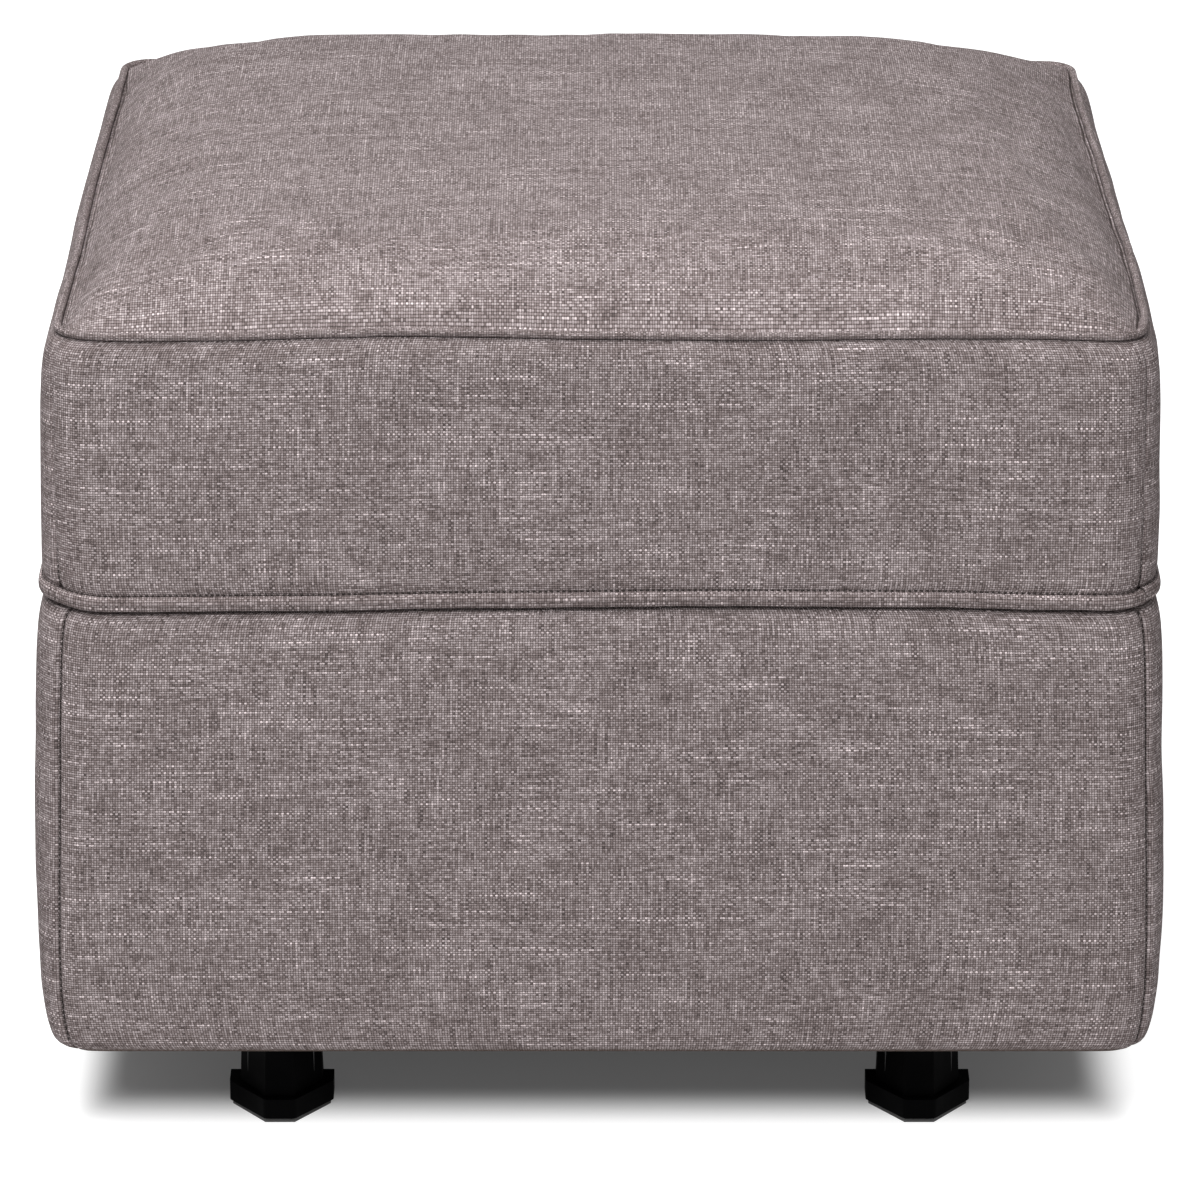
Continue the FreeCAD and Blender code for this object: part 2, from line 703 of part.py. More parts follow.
def wedge(side):
    """The quarter of space that one side's panel fills; its slanting faces cut the corner seams."""
    seam_x = value("seam_half_width - corner_radius") + SEAM_OFFSET
    seam_y = value("seam_half_depth - corner_radius") + SEAM_OFFSET * DEPTH_SHARE
    reach = 2 * value("corner_radius")
    if side in ("front", "back"):
        corners = [(seam_x - reach, seam_y - reach), (seam_x + reach, seam_y + reach),
                   (-seam_x - reach, seam_y + reach), (-seam_x + reach, seam_y - reach)]
    else:
        corners = [(seam_x - reach, seam_y - reach), (seam_x + reach, seam_y + reach),
                   (seam_x + reach, -seam_y - reach), (seam_x - reach, -seam_y + reach)]
    flip_x = -1 if side == "left" else 1
    flip_y = -1 if side == "front" else 1
    points = [FreeCAD.Vector(flip_x * x, flip_y * y, 0) for x, y in corners]
    face = Part.Face(Part.makePolygon(points + points[:1]))
    return face.extrude(FreeCAD.Vector(0, 0, value("seam_height + underside_height")))


def keep_shape(label, shape):
    feature = doc.addObject("Part::Feature", f"{label}_shape")
    feature.Shape = shape
    keep(feature, label)


def keep_panels(label, ring):
    """Parts a ring at its corner seams and keeps the four panels."""
    for side in ("front", "back", "left", "right"):
        keep_shape(f"{label}_{side}", ring.common(wedge(side)).Solids[0])


def base_cover():
    low = value("underside_height")
    opening = box_between(value("seam_half_width - turned_edge"), value("seam_half_depth - turned_edge"),
                          low - value("cover"), low + 2 * value("cover"))
    keep_panels("base_cover", loft(BASE).cut(loft(BASE_LINING, value("cover"))).cut(opening))


def side_padding():
    """Fills the space between the frame and the base cover, short of the welt."""
    filled = loft(BASE_LINING[:-1], value("cover + ease"))
    frame = box_between(value("panel_width"), value("panel_depth"), 0, value("felt_top"))
    above_foot = box_between(2 * value("panel_width"), 2 * value("panel_depth"),
                             value("panel_foot + ease"), value("felt_top"))
    keep_panels("side_padding", filled.common(above_foot).cut(frame))


def boxing_cover():
    keep_panels("boxing", loft(BOXING).cut(loft(BOXING_LINING, value("cover"))))


def top_panel():
    keep_shape("top_panel", loft(CROWN).cut(loft(CROWN_LINING, value("cover"))))


def seat_foam():
    inward = value("cover + ease")
    keep_shape("seat_foam", loft(FOAM_SIDE, inward).fuse(loft(FOAM_CROWN, inward)).removeSplitter())


def trim_ring(label):
    """A trim cord, six-sided, bent round the part: the piping or the welt."""
    radius = value(f"{label}_radius")
    path = outline_wire((value(f"{label}_height"), value(f"{label}_swell")), 0)
    start = path.Edges[1].firstVertex().Point
    turns = [math.radians(60 * corner) for corner in range(7)]
    corners = [start + FreeCAD.Vector(0, radius * math.cos(turn), radius * math.sin(turn)) for turn in turns]
    return path.makePipeShell([Part.makePolygon(corners)], True, False)


def trims():
    keep_shape("top_piping", trim_ring("piping"))
    keep_shape("waist_welt", trim_ring("welt"))


def build():
    fill_sheet()
    floor_rail()
    cross_member()
    hanger_plate()
    plate_bolts()
    upper_pivots()
    travel_bumpers()
    boot()
    floor_glides()
    swing_link()
    link_bearings()
    carriage_rail()
    lag_screws()
    lower_pivots()
    side_panels()
    end_panels()
    corner_blocks()
    ledger()
    webbing()
    felt_pad()
    dust_cover()
    base_cover()
    side_padding()
    boxing_cover()
    top_panel()
    seat_foam()
    trims()
    doc.recompute()


def check():
    for item in doc.Objects:
        if {"Invalid", "Error"} & set(item.State):
            raise RuntimeError(f"{item.Name} did not build: {item.State}")
    for part in parts:
        if part.Shape.isNull() or not part.Shape.isValid():
            raise RuntimeError(f"{part.Label} has no valid shape")


def write():
    os.makedirs("parts", exist_ok=True)
    for part in parts:
        part.Shape.exportStep(f"parts/{part.Label}.step")
        solids = len(part.Shape.Solids)
        print(f"{part.Label}: {solids} solid(s), {part.Shape.Volume / 1000:.1f} cubic centimetres")


build()
check()
write()
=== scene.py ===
import math

import bmesh
import bpy
from mathutils import Matrix, Vector, noise


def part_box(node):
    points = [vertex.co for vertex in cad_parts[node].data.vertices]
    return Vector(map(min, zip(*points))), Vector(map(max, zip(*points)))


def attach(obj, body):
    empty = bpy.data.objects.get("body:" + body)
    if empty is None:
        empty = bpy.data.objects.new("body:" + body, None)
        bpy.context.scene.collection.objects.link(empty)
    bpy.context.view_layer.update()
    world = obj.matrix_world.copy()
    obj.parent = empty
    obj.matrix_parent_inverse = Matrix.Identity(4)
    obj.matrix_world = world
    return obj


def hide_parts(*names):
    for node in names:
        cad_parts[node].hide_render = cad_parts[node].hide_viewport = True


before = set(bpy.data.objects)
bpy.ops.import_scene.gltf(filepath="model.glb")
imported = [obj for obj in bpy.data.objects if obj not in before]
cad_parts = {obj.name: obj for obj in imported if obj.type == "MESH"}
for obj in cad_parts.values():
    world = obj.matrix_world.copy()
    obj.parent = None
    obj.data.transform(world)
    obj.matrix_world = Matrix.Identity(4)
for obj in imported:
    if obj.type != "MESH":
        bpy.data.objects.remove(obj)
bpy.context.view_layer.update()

MM = 0.001
OUTWARD = {"front": (0, -1), "right": (1, 0), "back": (0, 1), "left": (-1, 0)}
SIDES = tuple(OUTWARD)

# The covers, in millimetres: half width and half depth at the top seam, and the seams' heights
SEAM_X = 261.0
SEAM_Y = 236.0
SEAM_Z = 429.5
WAIST_Z = 295.6
CROWN_RISE = 37.4
# Corner radii in plan: the usual one, and that at the top seam and at the base's foot
CORNER = 28.0
TIGHT_CORNER = 15.0
# The base's front left seam stands this far round on the front
SEAM_SHIFT = 5.0
# Seam allowance, and from one thread of the weave to the next
ALLOWANCE = 7.0
THREAD = 1.22
# Depth and width of a corner seam's groove, then of the wide dip beside it
GROOVE = (2.6, 1.5)
DIP = (0.5, 9.0)
# Thickness of the side covers, the top, the webbing, the dust cloth and the wadding
COVER_WALL = 1.4
TOP_WALL = 1.6
STRAP_WALL = 1.1
DUST_WALL = 0.5
WADDING = {"front": 11.0, "right": 15.0, "back": 11.0, "left": 15.0}
PIPING_Z = 430.7
PIPING_RADIUS = 2.1
# Half the welt's thickness, half its height, and how square it is, from 1, round, to 0
WELT_SECTION = (2.9, 3.9, 0.75)
# Swell to the sides and swell to front and back
PIPING_SWELL = (2.2, 1.4)
WELT_SWELL = (13.0, 7.7)
WAIST_STITCH_SWELL = (13.6, 8.1)
# A cord's map has this many millimetres of cloth for a radian of turn
CORD_MAP = 3.0
# Length, width and height of a stitch, then from one stitch to the next
WAIST_STITCH = (1.9, 0.75, 0.5)
WAIST_PITCH = 2.75
CORNER_STITCH = (2.2, 0.9, 0.7)
CORNER_PITCH = 2.9
# How far the waist's stitches run above the middle of the welt
WAIST_STITCH_RISE = 4.6
# Corner stitches: the lowest, the highest, and how deep they lie
BOXING_STITCHES = (302.0, 322.0, 2.2)
BASE_STITCHES = (62.0, 286.0, 2.4)

# Height, swell to the sides and swell to front and back, in millimetres
BOXING = [(294.5, 8.0, 4.4), (297.0, 11.2, 6.6), (299.6, 13.0, 7.8), (303, 13.8, 8.3), (309, 14.0, 8.4),
          (335, 14.1, 8.5), (365, 13.4, 8.0), (390, 12.2, 7.4), (408, 11.0, 6.8), (419, 9.3, 5.9),
          (425, 6.6, 4.2), (428.4, 2.4, 1.6), (429.6, -2.6, -2.4)]
BASE = [(56.6, -20, -18), (55.6, -8, -6), (54.9, 0, 3.2), (54.6, 4.2, 7.6), (55.2, 8.6, 9.6),
        (57.2, 12.6, 11.1), (62, 15.0, 12.1), (71, 17.2, 12.7), (88, 19.4, 13.2), (112, 20.4, 13.6),
        (150, 20.3, 13.6), (190, 19.4, 13.2), (233, 18.3, 12.4), (262, 17.2, 11.5), (276, 16.2, 10.7),
        (284, 15.0, 9.8), (288.4, 12.6, 7.9), (290.4, 9.0, 5.4), (291.6, 4.0, 2.0)]
PADDING = [(58.5, 5, 4), (61, 10.5, 8.0), (71, 13.7, 9.2), (88, 16.0, 9.8), (112, 17.0, 10.2),
           (150, 16.9, 10.2), (190, 16.0, 9.8), (233, 14.9, 9.0), (262, 13.8, 8.1), (276, 12.2, 7.2),
           (283, 9, 5)]

# Across the front: how far the top seam and the waist lie above their mean height
TOP_WAVE = [(-261, 0.1), (-222, -1.3), (-182, -0.9), (-124, 0.7), (-97, 1.6), (-58, 1.0), (0, -0.2),
            (80, -0.8), (145, 0.1), (194, 0.2), (258, -1.2)]
WAIST_WAVE = [(-261, 0.8), (-226, -1.9), (-145, -1.2), (-49, 0.4), (49, 1.4), (145, 0.9), (218, -0.7),
              (245, -1.1), (266, 0.1)]
# From front to back: how far the top seam stands out at each side
LEFT_LEAN = [(-245, 0.2), (-200, 0.4), (-152, -0.6), (-103, -1.3), (0, -1.4), (53, -2.0), (108, -2.6),
             (179, -4.0), (240, -4.6)]
RIGHT_LEAN = [(-245, 0.4), (-224, 1.3), (-198, 3.2), (-152, 3.2), (-103, 2.4), (-52, 0.4), (0, -1.2),
              (53, -2.2), (108, -3.8), (179, -5.4), (240, -6.0)]
# Across the top: how far its rear right part sinks
RIGHT_SAG = [(110, 0), (150, 0.8), (172, 1.9), (200, 3.2), (235, 4.6), (261, 3.6)]
# Share of the seat foam's height, and how far it swells there
FOAM_SWELL = [(0.0, -3.0), (0.1, 1.0), (0.25, 8.5), (0.55, 8.0), (0.85, 0.5), (1.0, -9.0)]

# Cloth simulation of the top panel: frames, pressure, and the most a point may move, in millimetres
SIM_FRAMES = 20
SIM_PRESSURE = 1.2
SIM_CAP = 2.5

COVER_COLOUR = (0.262, 0.217, 0.2155)
TRIM_COLOUR = (0.235, 0.193, 0.191)
# Painted shade on the base cover's turned edge underneath: where it starts and ends along its map, and its
# fade, in metres
TURNED_EDGE_SHADE = (0.0245, 0.0300, 0.0020)

# Fitted to the photograph: metres, degrees from straight down, and millimetres on a 36 mm sensor
CAMERA_PLACE = (0.0002, -3.513, 1.510)
CAMERA_TILT = 69.63
CAMERA_LENS = 213.69
# The painted shadow under the ottoman: where the floor starts to brighten beside and before the ottoman, and
# over what length, in metres
PAINTED_SHADOW_BESIDE = (0.244, 0.034)
PAINTED_SHADOW_BEFORE = (0.164, 0.066)
# The floor's least glow, in the painted shadow under the ottoman, and its most glow, and the world's light on
# the object
FLOOR_GLOW = (0.066, 0.90)
WORLD_LEVEL = 0.25
# Place, target, size in metres and power in watts
LAMPS = {
    "overhead": ((-0.5, -0.7, 3.2), (0.0, 0.0, 0.4), (2.2, 2.2), 72.0),
    "front": ((-0.45, -2.5, 2.5), (0.0, 0.0, 0.3), (1.4, 1.0), 67.0),
}


# Nodes

class Wire:
    """An output of a node. Sums and products with it add Math nodes."""

    def __init__(self, nodes, socket):
        self.nodes = nodes
        self.socket = socket

    def pick(self, name):
        """Another output of the same node."""
        return Wire(self.nodes, self.socket.node.outputs[name])

    def math(self, operation, other=0.0, third=0.0):
        return self.nodes.node("ShaderNodeMath", {"operation": operation}, {0: self, 1: other, 2: third})

    def __add__(self, other):
        return self.math("ADD", other)

    def __mul__(self, other):
        return self.math("MULTIPLY", other)

    def __sub__(self, other):
        return self.math("SUBTRACT", other)

    def __truediv__(self, other):
        return self.math("DIVIDE", other)

    def __rsub__(self, other):
        return self.nodes.node("ShaderNodeMath", {"operation": "SUBTRACT"}, {0: other, 1: self})

    __radd__ = __add__
    __rmul__ = __mul__

    def over(self, low, high, start=0.0, end=1.0):
        """The value where it runs from low to high, as start to end, held at both ends."""
        sockets = {"Value": self, "From Min": low, "From Max": high, "To Min": start, "To Max": end}
        return self.nodes.node("ShaderNodeMapRange", {"interpolation_type": "SMOOTHSTEP"}, sockets)


class Nodes:
    """Makes the nodes of one emptied tree."""

    def __init__(self, tree):
        self.tree = tree
        tree.nodes.clear()

    def node(self, kind, settings, sockets, output=0):
        made = self.tree.nodes.new(kind)
        for key, value in settings.items():
            if key == "stops":
                set_stops(made.color_ramp, value)
            else:
                setattr(made, key, value)
        for key, value in sockets.items():
            if isinstance(value, Wire):
                self.tree.links.new(value.socket, made.inputs[key])
            else:
                made.inputs[key].default_value = value
        return Wire(self, made.outputs[output]) if made.outputs else None

    def seen_rays(self, *kinds):
        """One for rays of these kinds, by Light Path's names, and nought for others."""
        path = self.node("ShaderNodeLightPath", {}, {})
        rays = path.pick(kinds[0])
        for kind in kinds[1:]:
            rays = rays.math("MAXIMUM", path.pick(kind))
        return rays


class Finish(Nodes):
    """One material: a Principled shader with the given sockets, and the nodes that feed it."""

    def __init__(self, name, **sockets):
        self.material = bpy.data.materials.new(name)
        self.material.use_nodes = True
        super().__init__(self.material.node_tree)
        plain = {key.replace("_", " "): value for key, value in sockets.items()}
        self.shader = self.node("ShaderNodeBsdfPrincipled", {}, plain)
        self.node("ShaderNodeOutputMaterial", {}, {"Surface": self.shader})

    def feed(self, **sockets):
        """Links wires to the shader's own sockets."""
        for key, wire in sockets.items():
            self.tree.links.new(wire.socket, self.shader.socket.node.inputs[key.replace("_", " ")])

    def place(self, own_map=False):
        """Where a point lies, in the shared frame or on the piece's own map."""
        output = "UV" if own_map else "Object"
        return self.node("ShaderNodeTexCoord", {}, {}).pick(output)

    def split(self, vector):
        """The three parts of a vector."""
        parts = self.node("ShaderNodeSeparateXYZ", {}, {0: vector})
        return parts, parts.pick("Y"), parts.pick("Z")

    def join(self, x, y, z=0.0):
        return self.node("ShaderNodeCombineXYZ", {}, {0: x, 1: y, 2: z})

    def noise(self, vector, scale=1.0, detail=2.0, roughness=0.5):
        sockets = {"Vector": vector, "Scale": scale, "Detail": detail, "Roughness": roughness}
        return self.node("ShaderNodeTexNoise", {}, sockets)

    def blend(self, factor, first, second, mode="MIX"):
        return self.node("ShaderNodeMix", {"data_type": "RGBA", "blend_type": mode},
                         {0: factor, 6: first, 7: second}, 2)

    def ramp(self, factor, *stops):
        return self.node("ShaderNodeValToRGB", {"stops": stops}, {0: factor})

    def bump(self, height, depth, strength):
        return self.node("ShaderNodeBump", {}, {"Height": height, "Distance": depth, "Strength": strength})


def set_stops(ramp, stops):
    while len(ramp.elements) < len(stops):
        ramp.elements.new(0.5)
    for element, (at, colour) in zip(ramp.elements, stops):
        element.position = at
        element.color = colour


def paint(red, green, blue):
    return (red, green, blue, 1.0)


# Finishes

def woven_cover(name, colour=COVER_COLOUR, turned_edge_shade=None, seam_shade=None):
    """Slubby linen-look weave, plain with patches of twill, drawn on the piece's own map in metres of cloth.

    For the base cover, painted shade on its turned edge underneath: where it starts and ends along the map,
    and its fade.
    For the top, half the width and half the depth of a panel with painted shade along its seam.
    """
    cloth = Finish(name, Roughness=0.9, Specular_IOR_Level=0.15)
    across, along, _ = cloth.split(cloth.place(own_map=True))
    u = across / (THREAD * MM) + 1000.0
    v = along / (THREAD * MM) + 1000.0
    column, in_column = u.math("FLOOR"), u.math("FRACT") - 0.5
    row, in_row = v.math("FLOOR"), v.math("FRACT") - 0.5

    # Which thread lies on top in each crossing
    plain = ((column + row) * 0.5).math("FRACT").math("GREATER_THAN", 0.25)
    twill = ((column + row) / 3.0).math("FRACT").math("GREATER_THAN", 0.5)
    in_twill = cloth.noise(cloth.join(column * 0.028, row * 0.034, 2.0)).math("GREATER_THAN", 0.53)
    warp_up = plain * (1.0 - in_twill) + twill * in_twill
    weft_up = 1.0 - warp_up

    # Round threads
    warp_height = (1.0 - in_column * in_column * 3.4) * (1.0 - in_row * in_row * 1.9)
    weft_height = (1.0 - in_row * in_row * 3.4) * (1.0 - in_column * in_column * 1.9)
    height = warp_height * warp_up + weft_height * weft_up

    # Each thread's own tone, its pale slubs, specks and broad clouds
    warp_tone = cloth.noise(cloth.join(column * 7.31, along * 60.0), roughness=0.7)
    weft_tone = cloth.noise(cloth.join(across * 56.0, row * 5.17), roughness=0.7)
    warp_slub = cloth.noise(cloth.join(column * 3.7, along * 22.0, 8.0), detail=1.0)
    weft_slub = cloth.noise(cloth.join(across * 19.0, row * 4.3, 3.0), detail=1.0)
    warp = warp_tone.over(0.3, 0.7, 0.42, 1.42) + warp_slub.over(0.58, 0.70, 0.0, 0.6)
    weft = weft_tone.over(0.3, 0.7, 0.62, 1.5) + weft_slub.over(0.57, 0.69, 0.0, 0.9)
    crossing = cloth.join(column, row)
    speck = cloth.node("ShaderNodeTexWhiteNoise", {"noise_dimensions": "2D"}, {"Vector": crossing})
    cloud = cloth.noise(cloth.join(across * 26.0, along * 26.0, 5.0))
    tone = (warp * warp_up + weft * weft_up) * speck.over(0.0, 1.0, 0.72, 1.28)
    # Painted shade: by its height each thread is lighter on its crown and dark in the gaps between threads.
    # Tone and clouds are the cloth's own.
    shade = height.over(0.12, 0.9, 0.22, 1.22) * tone * cloud.over(0.3, 0.7, 0.92, 1.08)
    level = (shade * 1.05).math("MAXIMUM", 0.08)

    # Darker places, the painted shade between threads among them, lean warm, and lighter ones pale
    red, green, blue = colour
    warm = paint(red * 1.03, green * 0.99, blue * 0.97)
    pale = paint(red * 0.97, green * 1.01, blue * 1.025)
    ground = cloth.blend(level.over(0.5, 1.6), warm, pale)
    woven = cloth.blend(1.0, ground, cloth.join(level, level, level), "MULTIPLY")
    # Painted shade on the turned edge, where the cover curls under at its foot
    if turned_edge_shade:
        low, high, fade = turned_edge_shade
        edge = along.over(low - fade, low) * (1.0 - along.over(high, high + fade))
        woven = cloth.blend(edge * 0.75, woven, paint(0.075, 0.05, 0.036))
    # Painted shade along the seam, where the top meets the piping
    if seam_shade:
        half_x, half_y = seam_shade
        to_seam = (half_x - across.math("ABSOLUTE")).math("MINIMUM", half_y - along.math("ABSOLUTE"))
        woven = cloth.blend(to_seam.over(0.6 * MM, 1.7 * MM, 0.85, 0.0), woven, paint(0.035, 0.024, 0.02))
    relief = height * tone.over(0.3, 1.8, 0.6, 1.3)
    cloth.feed(Base_Color=woven, Normal=cloth.bump(relief, 0.4 * MM, 0.8))
    return cloth.material


def stitch_hole_shade_thread():
    # The stitches are real, but their near-black colour is painted shade: it stands for the shade in the
    # stitch holes along the seams
    thread = Finish("sewing_thread", Roughness=0.7, Specular_IOR_Level=0.3)
    twist = thread.noise(thread.place(), scale=2600.0, detail=2.0)
    colour = thread.ramp(twist, (0.35, paint(0.013, 0.009, 0.008)), (0.7, paint(0.034, 0.026, 0.023)))
    thread.feed(Base_Color=colour, Normal=thread.bump(twist, 0.05 * MM, 0.6))
    return thread.material


def moulded_black():
    plastic = Finish("boot_black_plastic", Base_Color=paint(0.0006, 0.0006, 0.0007), Specular_IOR_Level=0.02)
    grain = plastic.noise(plastic.place(), scale=1400.0, detail=2.0)
    smear = plastic.noise(plastic.place(), scale=60.0, detail=3.0)
    plastic.feed(Roughness=smear.over(0.3, 0.7, 0.5, 0.65), Normal=plastic.bump(grain, 0.02 * MM, 0.4))
    return plastic.material


def glide_grey():
    plastic = Finish("glide_grey_plastic")
    wear = plastic.noise(plastic.place(), scale=220.0, detail=4.0)
    colour = plastic.ramp(wear, (0.35, paint(0.05, 0.05, 0.052)), (0.7, paint(0.085, 0.083, 0.08)))
    plastic.feed(Base_Color=colour, Roughness=wear.over(0.3, 0.7, 0.55, 0.75),
                 Normal=plastic.bump(wear, 0.06 * MM, 0.4))
    return plastic.material


def painted_steel():
    steel = Finish("black_painted_steel", Specular_IOR_Level=0.25, Coat_Weight=0.04, Coat_Roughness=0.3)
    peel = steel.noise(steel.place(), scale=900.0, detail=2.0)
    dust = steel.noise(steel.place(), scale=35.0, detail=5.0, roughness=0.6)
    colour = steel.ramp(dust, (0.4, paint(0.016, 0.016, 0.017)), (0.75, paint(0.03, 0.029, 0.028)))
    steel.feed(Base_Color=colour, Roughness=dust.over(0.3, 0.75, 0.42, 0.6),
               Normal=steel.bump(peel, 0.03 * MM, 0.5))
    return steel.material


def zinc_steel():
    steel = Finish("zinc_plated_steel", Metallic=1.0)
    grain = steel.noise(steel.place(), scale=700.0, detail=3.0)
    cloud = steel.noise(steel.place(), scale=90.0, detail=3.0)
    colour = steel.ramp(cloud, (0.3, paint(0.30, 0.305, 0.31)), (0.7, paint(0.42, 0.42, 0.405)))
    steel.feed(Base_Color=colour, Roughness=grain.over(0.3, 0.7, 0.30, 0.48),
               Normal=steel.bump(grain, 0.015 * MM, 0.5))
    return steel.material


def black_rubber():
    rubber = Finish("bumper_rubber")
    bloom = rubber.noise(rubber.place(), scale=260.0, detail=4.0)
    colour = rubber.ramp(bloom, (0.4, paint(0.016, 0.016, 0.016)), (0.8, paint(0.035, 0.034, 0.033)))
    rubber.feed(Base_Color=colour, Roughness=bloom.over(0.3, 0.7, 0.7, 0.9),
                Normal=rubber.bump(bloom, 0.05 * MM, 0.5))
    return rubber.material


def plywood():
    board = Finish("plywood", Specular_IOR_Level=0.3)
    x, y, z = board.split(board.place())
    waver = board.noise(board.join(x * 2.0, y * 2.0, z * 9.0), detail=3.0)
    rings = board.noise(board.join(x * 3.0, y * 3.0, z * 60.0 + waver * 2.6), detail=3.0, roughness=0.6)
    pores = board.noise(board.join(x * 30.0, y * 30.0, z * 900.0), detail=2.0)
    colour = board.ramp(rings, (0.3, paint(0.47, 0.31, 0.17)), (0.52, paint(0.60, 0.43, 0.26)),
                        (0.75, paint(0.68, 0.52, 0.34)))
    colour = board.blend(pores.over(0.62, 0.75, 0.0, 0.35), colour, paint(0.3, 0.19, 0.1))
    board.feed(Base_Color=colour, Roughness=rings.over(0.3, 0.7, 0.6, 0.78),
               Normal=board.bump(pores + rings, 0.08 * MM, 0.5))
    return board.material


def hardwood():
    board = Finish("hardwood", Specular_IOR_Level=0.3)
    x, y, z = board.split(board.place())
    waver = board.noise(board.join(x * 20.0, y * 2.5, z * 20.0), detail=3.0)
    rings = board.noise(board.join(x * 60.0 + waver * 2.0, y * 3.0, z * 60.0), detail=3.0, roughness=0.6)
    pores = board.noise(board.join(x * 800.0, y * 26.0, z * 800.0), detail=2.0)
    colour = board.ramp(rings, (0.3, paint(0.34, 0.19, 0.09)), (0.7, paint(0.53, 0.34, 0.19)))
    colour = board.blend(pores.over(0.6, 0.75, 0.0, 0.45), colour, paint(0.2, 0.11, 0.055))
    board.feed(Base_Color=colour, Roughness=rings.over(0.3, 0.7, 0.55, 0.72),
               Normal=board.bump(pores + rings, 0.08 * MM, 0.5))
    return board.material


def open_foam():
    foam = Finish("seat_foam_cells", Roughness=0.95, Specular_IOR_Level=0.1)
    cells = foam.node("ShaderNodeTexVoronoi", {}, {"Vector": foam.place(), "Scale": 650.0})
    cloud = foam.noise(foam.place(), scale=14.0, detail=3.0)
    colour = foam.ramp(cloud, (0.3, paint(0.74, 0.69, 0.53)), (0.7, paint(0.84, 0.80, 0.68)))
    shade = foam.ramp(cells, (0.1, paint(0.72, 0.70, 0.66)), (0.6, paint(1, 1, 1)))
    foam.feed(Base_Color=foam.blend(1.0, colour, shade, "MULTIPLY"), Normal=foam.bump(cells, 0.5 * MM, 0.7))
    return foam.material


def wadding():
    fleece = Finish("polyester_wadding", Roughness=1.0, Specular_IOR_Level=0.1, Sheen_Weight=0.3)
    x, y, z = fleece.split(fleece.place())
    curl = fleece.noise(fleece.place(), scale=70.0, detail=4.0, roughness=0.7)
    fibre = fleece.noise(fleece.join(x * 300.0 + curl * 9.0, y * 300.0 + curl * 9.0, z * 300.0), detail=4.0)
    tuft = curl + fibre
    colour = fleece.ramp(tuft, (0.6, paint(0.72, 0.72, 0.70)), (1.2, paint(0.86, 0.86, 0.85)))
    fleece.feed(Base_Color=colour, Normal=fleece.bump(tuft, 1.2 * MM, 0.6))
    return fleece.material


def grey_felt():
    felt = Finish("needled_felt", Roughness=0.95, Specular_IOR_Level=0.1, Sheen_Weight=0.2)
    fleck = felt.noise(felt.place(), scale=900.0, detail=3.0, roughness=0.7)
    cloud = felt.noise(felt.place(), scale=60.0, detail=4.0)
    colour = felt.ramp(fleck, (0.35, paint(0.26, 0.27, 0.30)), (0.5, paint(0.40, 0.39, 0.38)),
                       (0.65, paint(0.55, 0.50, 0.44)))
    felt.feed(Base_Color=colour, Normal=felt.bump(cloud + fleck, 0.6 * MM, 0.6))
    return felt.material


def strap_weave():
    strap = Finish("woven_webbing", Roughness=0.8, Specular_IOR_Level=0.25, Sheen_Weight=0.1)
    across, along, _ = strap.split(strap.place(own_map=True))
    u = across / (2.2 * MM)
    v = along / (1.6 * MM)
    step = (u.math("FLOOR") + v.math("FLOOR")).math("PINGPONG", 1.0)
    across_cell = (u.math("FRACT") - 0.5).math("ABSOLUTE")
    along_cell = (v.math("FRACT") - 0.5).math("ABSOLUTE")
    crown = (1.0 - across_cell) * (1.0 - along_cell)
    colour = strap.blend(step, paint(0.06, 0.06, 0.065), paint(0.13, 0.13, 0.14))
    # Painted shade: darker where each thread's crown falls away into the gaps. The two tones of the weave are
    # its own.
    strap.feed(Base_Color=strap.blend(crown.over(0.3, 0.7, 0.5, 0.0), colour, paint(0.02, 0.02, 0.02)),
               Normal=strap.bump(crown * (step + 1.0), 0.4 * MM, 0.8))
    return strap.material


def black_spunbond():
    cloth = Finish("black_dust_cloth", Roughness=0.8, Specular_IOR_Level=0.3)
    across, along, _ = cloth.split(cloth.place(own_map=True))
    dimples = cloth.node("ShaderNodeTexVoronoi", {}, {"Vector": cloth.join(across, along), "Scale": 620.0})
    fibre = cloth.noise(cloth.join(across * 200.0, along * 900.0), detail=4.0)
    colour = cloth.ramp(fibre, (0.35, paint(0.018, 0.018, 0.019)), (0.7, paint(0.05, 0.05, 0.05)))
    cloth.feed(Base_Color=colour, Normal=cloth.bump(dimples, 0.2 * MM, 0.8))
    return cloth.material


# Shapes

def steps(low, high, size):
    """Even stations from low to high, about size apart."""
    count = max(1, round((high - low) / size))
    return [low + (high - low) * i / count for i in range(count + 1)]


def sewn_steps(start, end, size=6.0):
    """Stations along a panel: its seam allowances, then close together at both seams."""
    near = [-ALLOWANCE, -3.0, 0.0, 0.9, 2.0, 3.6, 6.0, 9.0, 13.0, 18.0]
    left = [start + d for d in near]
    right = [end - d for d in reversed(near)]
    return left + steps(start + near[-1], end - near[-1], size)[1:-1] + right


def edged_steps(half, size=6.0):
    """Stations from end to end, closer together near both ends."""
    near = [0.0, 1.5, 3.0, 5.0, 7.5, 10.5, 14.0, 18.0]
    inner = steps(near[-1] - half, half - near[-1], size)[1:-1]
    return [d - half for d in near] + inner + [half - d for d in reversed(near)]


def between(table, at):
    """A smooth curve through a table of pairs, held beyond its ends."""
    if at <= table[0][0]:
        return table[0][1]
    for (a, low), (b, high) in zip(table, table[1:]):
        if at <= b:
            share = (at - a) / (b - a)
            return low + (high - low) * share * share * (3.0 - 2.0 * share)
    return table[-1][1]


def straight(table, at):
    """Straight lines through a table of pairs."""
    for (a, low), (b, high) in zip(table, table[1:]):
        if at <= b:
            return low + (high - low) * (at - a) / (b - a)
    return table[-1][1]


def clamp(value):
    """The value held between nought and one."""
    return min(1.0, max(0.0, value))


def ripple(x, y, z, size, seed=0.0):
    """Smooth unevenness of about one unit, size millimetres from crest to crest."""
    return noise.noise(Vector((x / size + seed, y / size - seed, z / size + 0.37 * seed)))


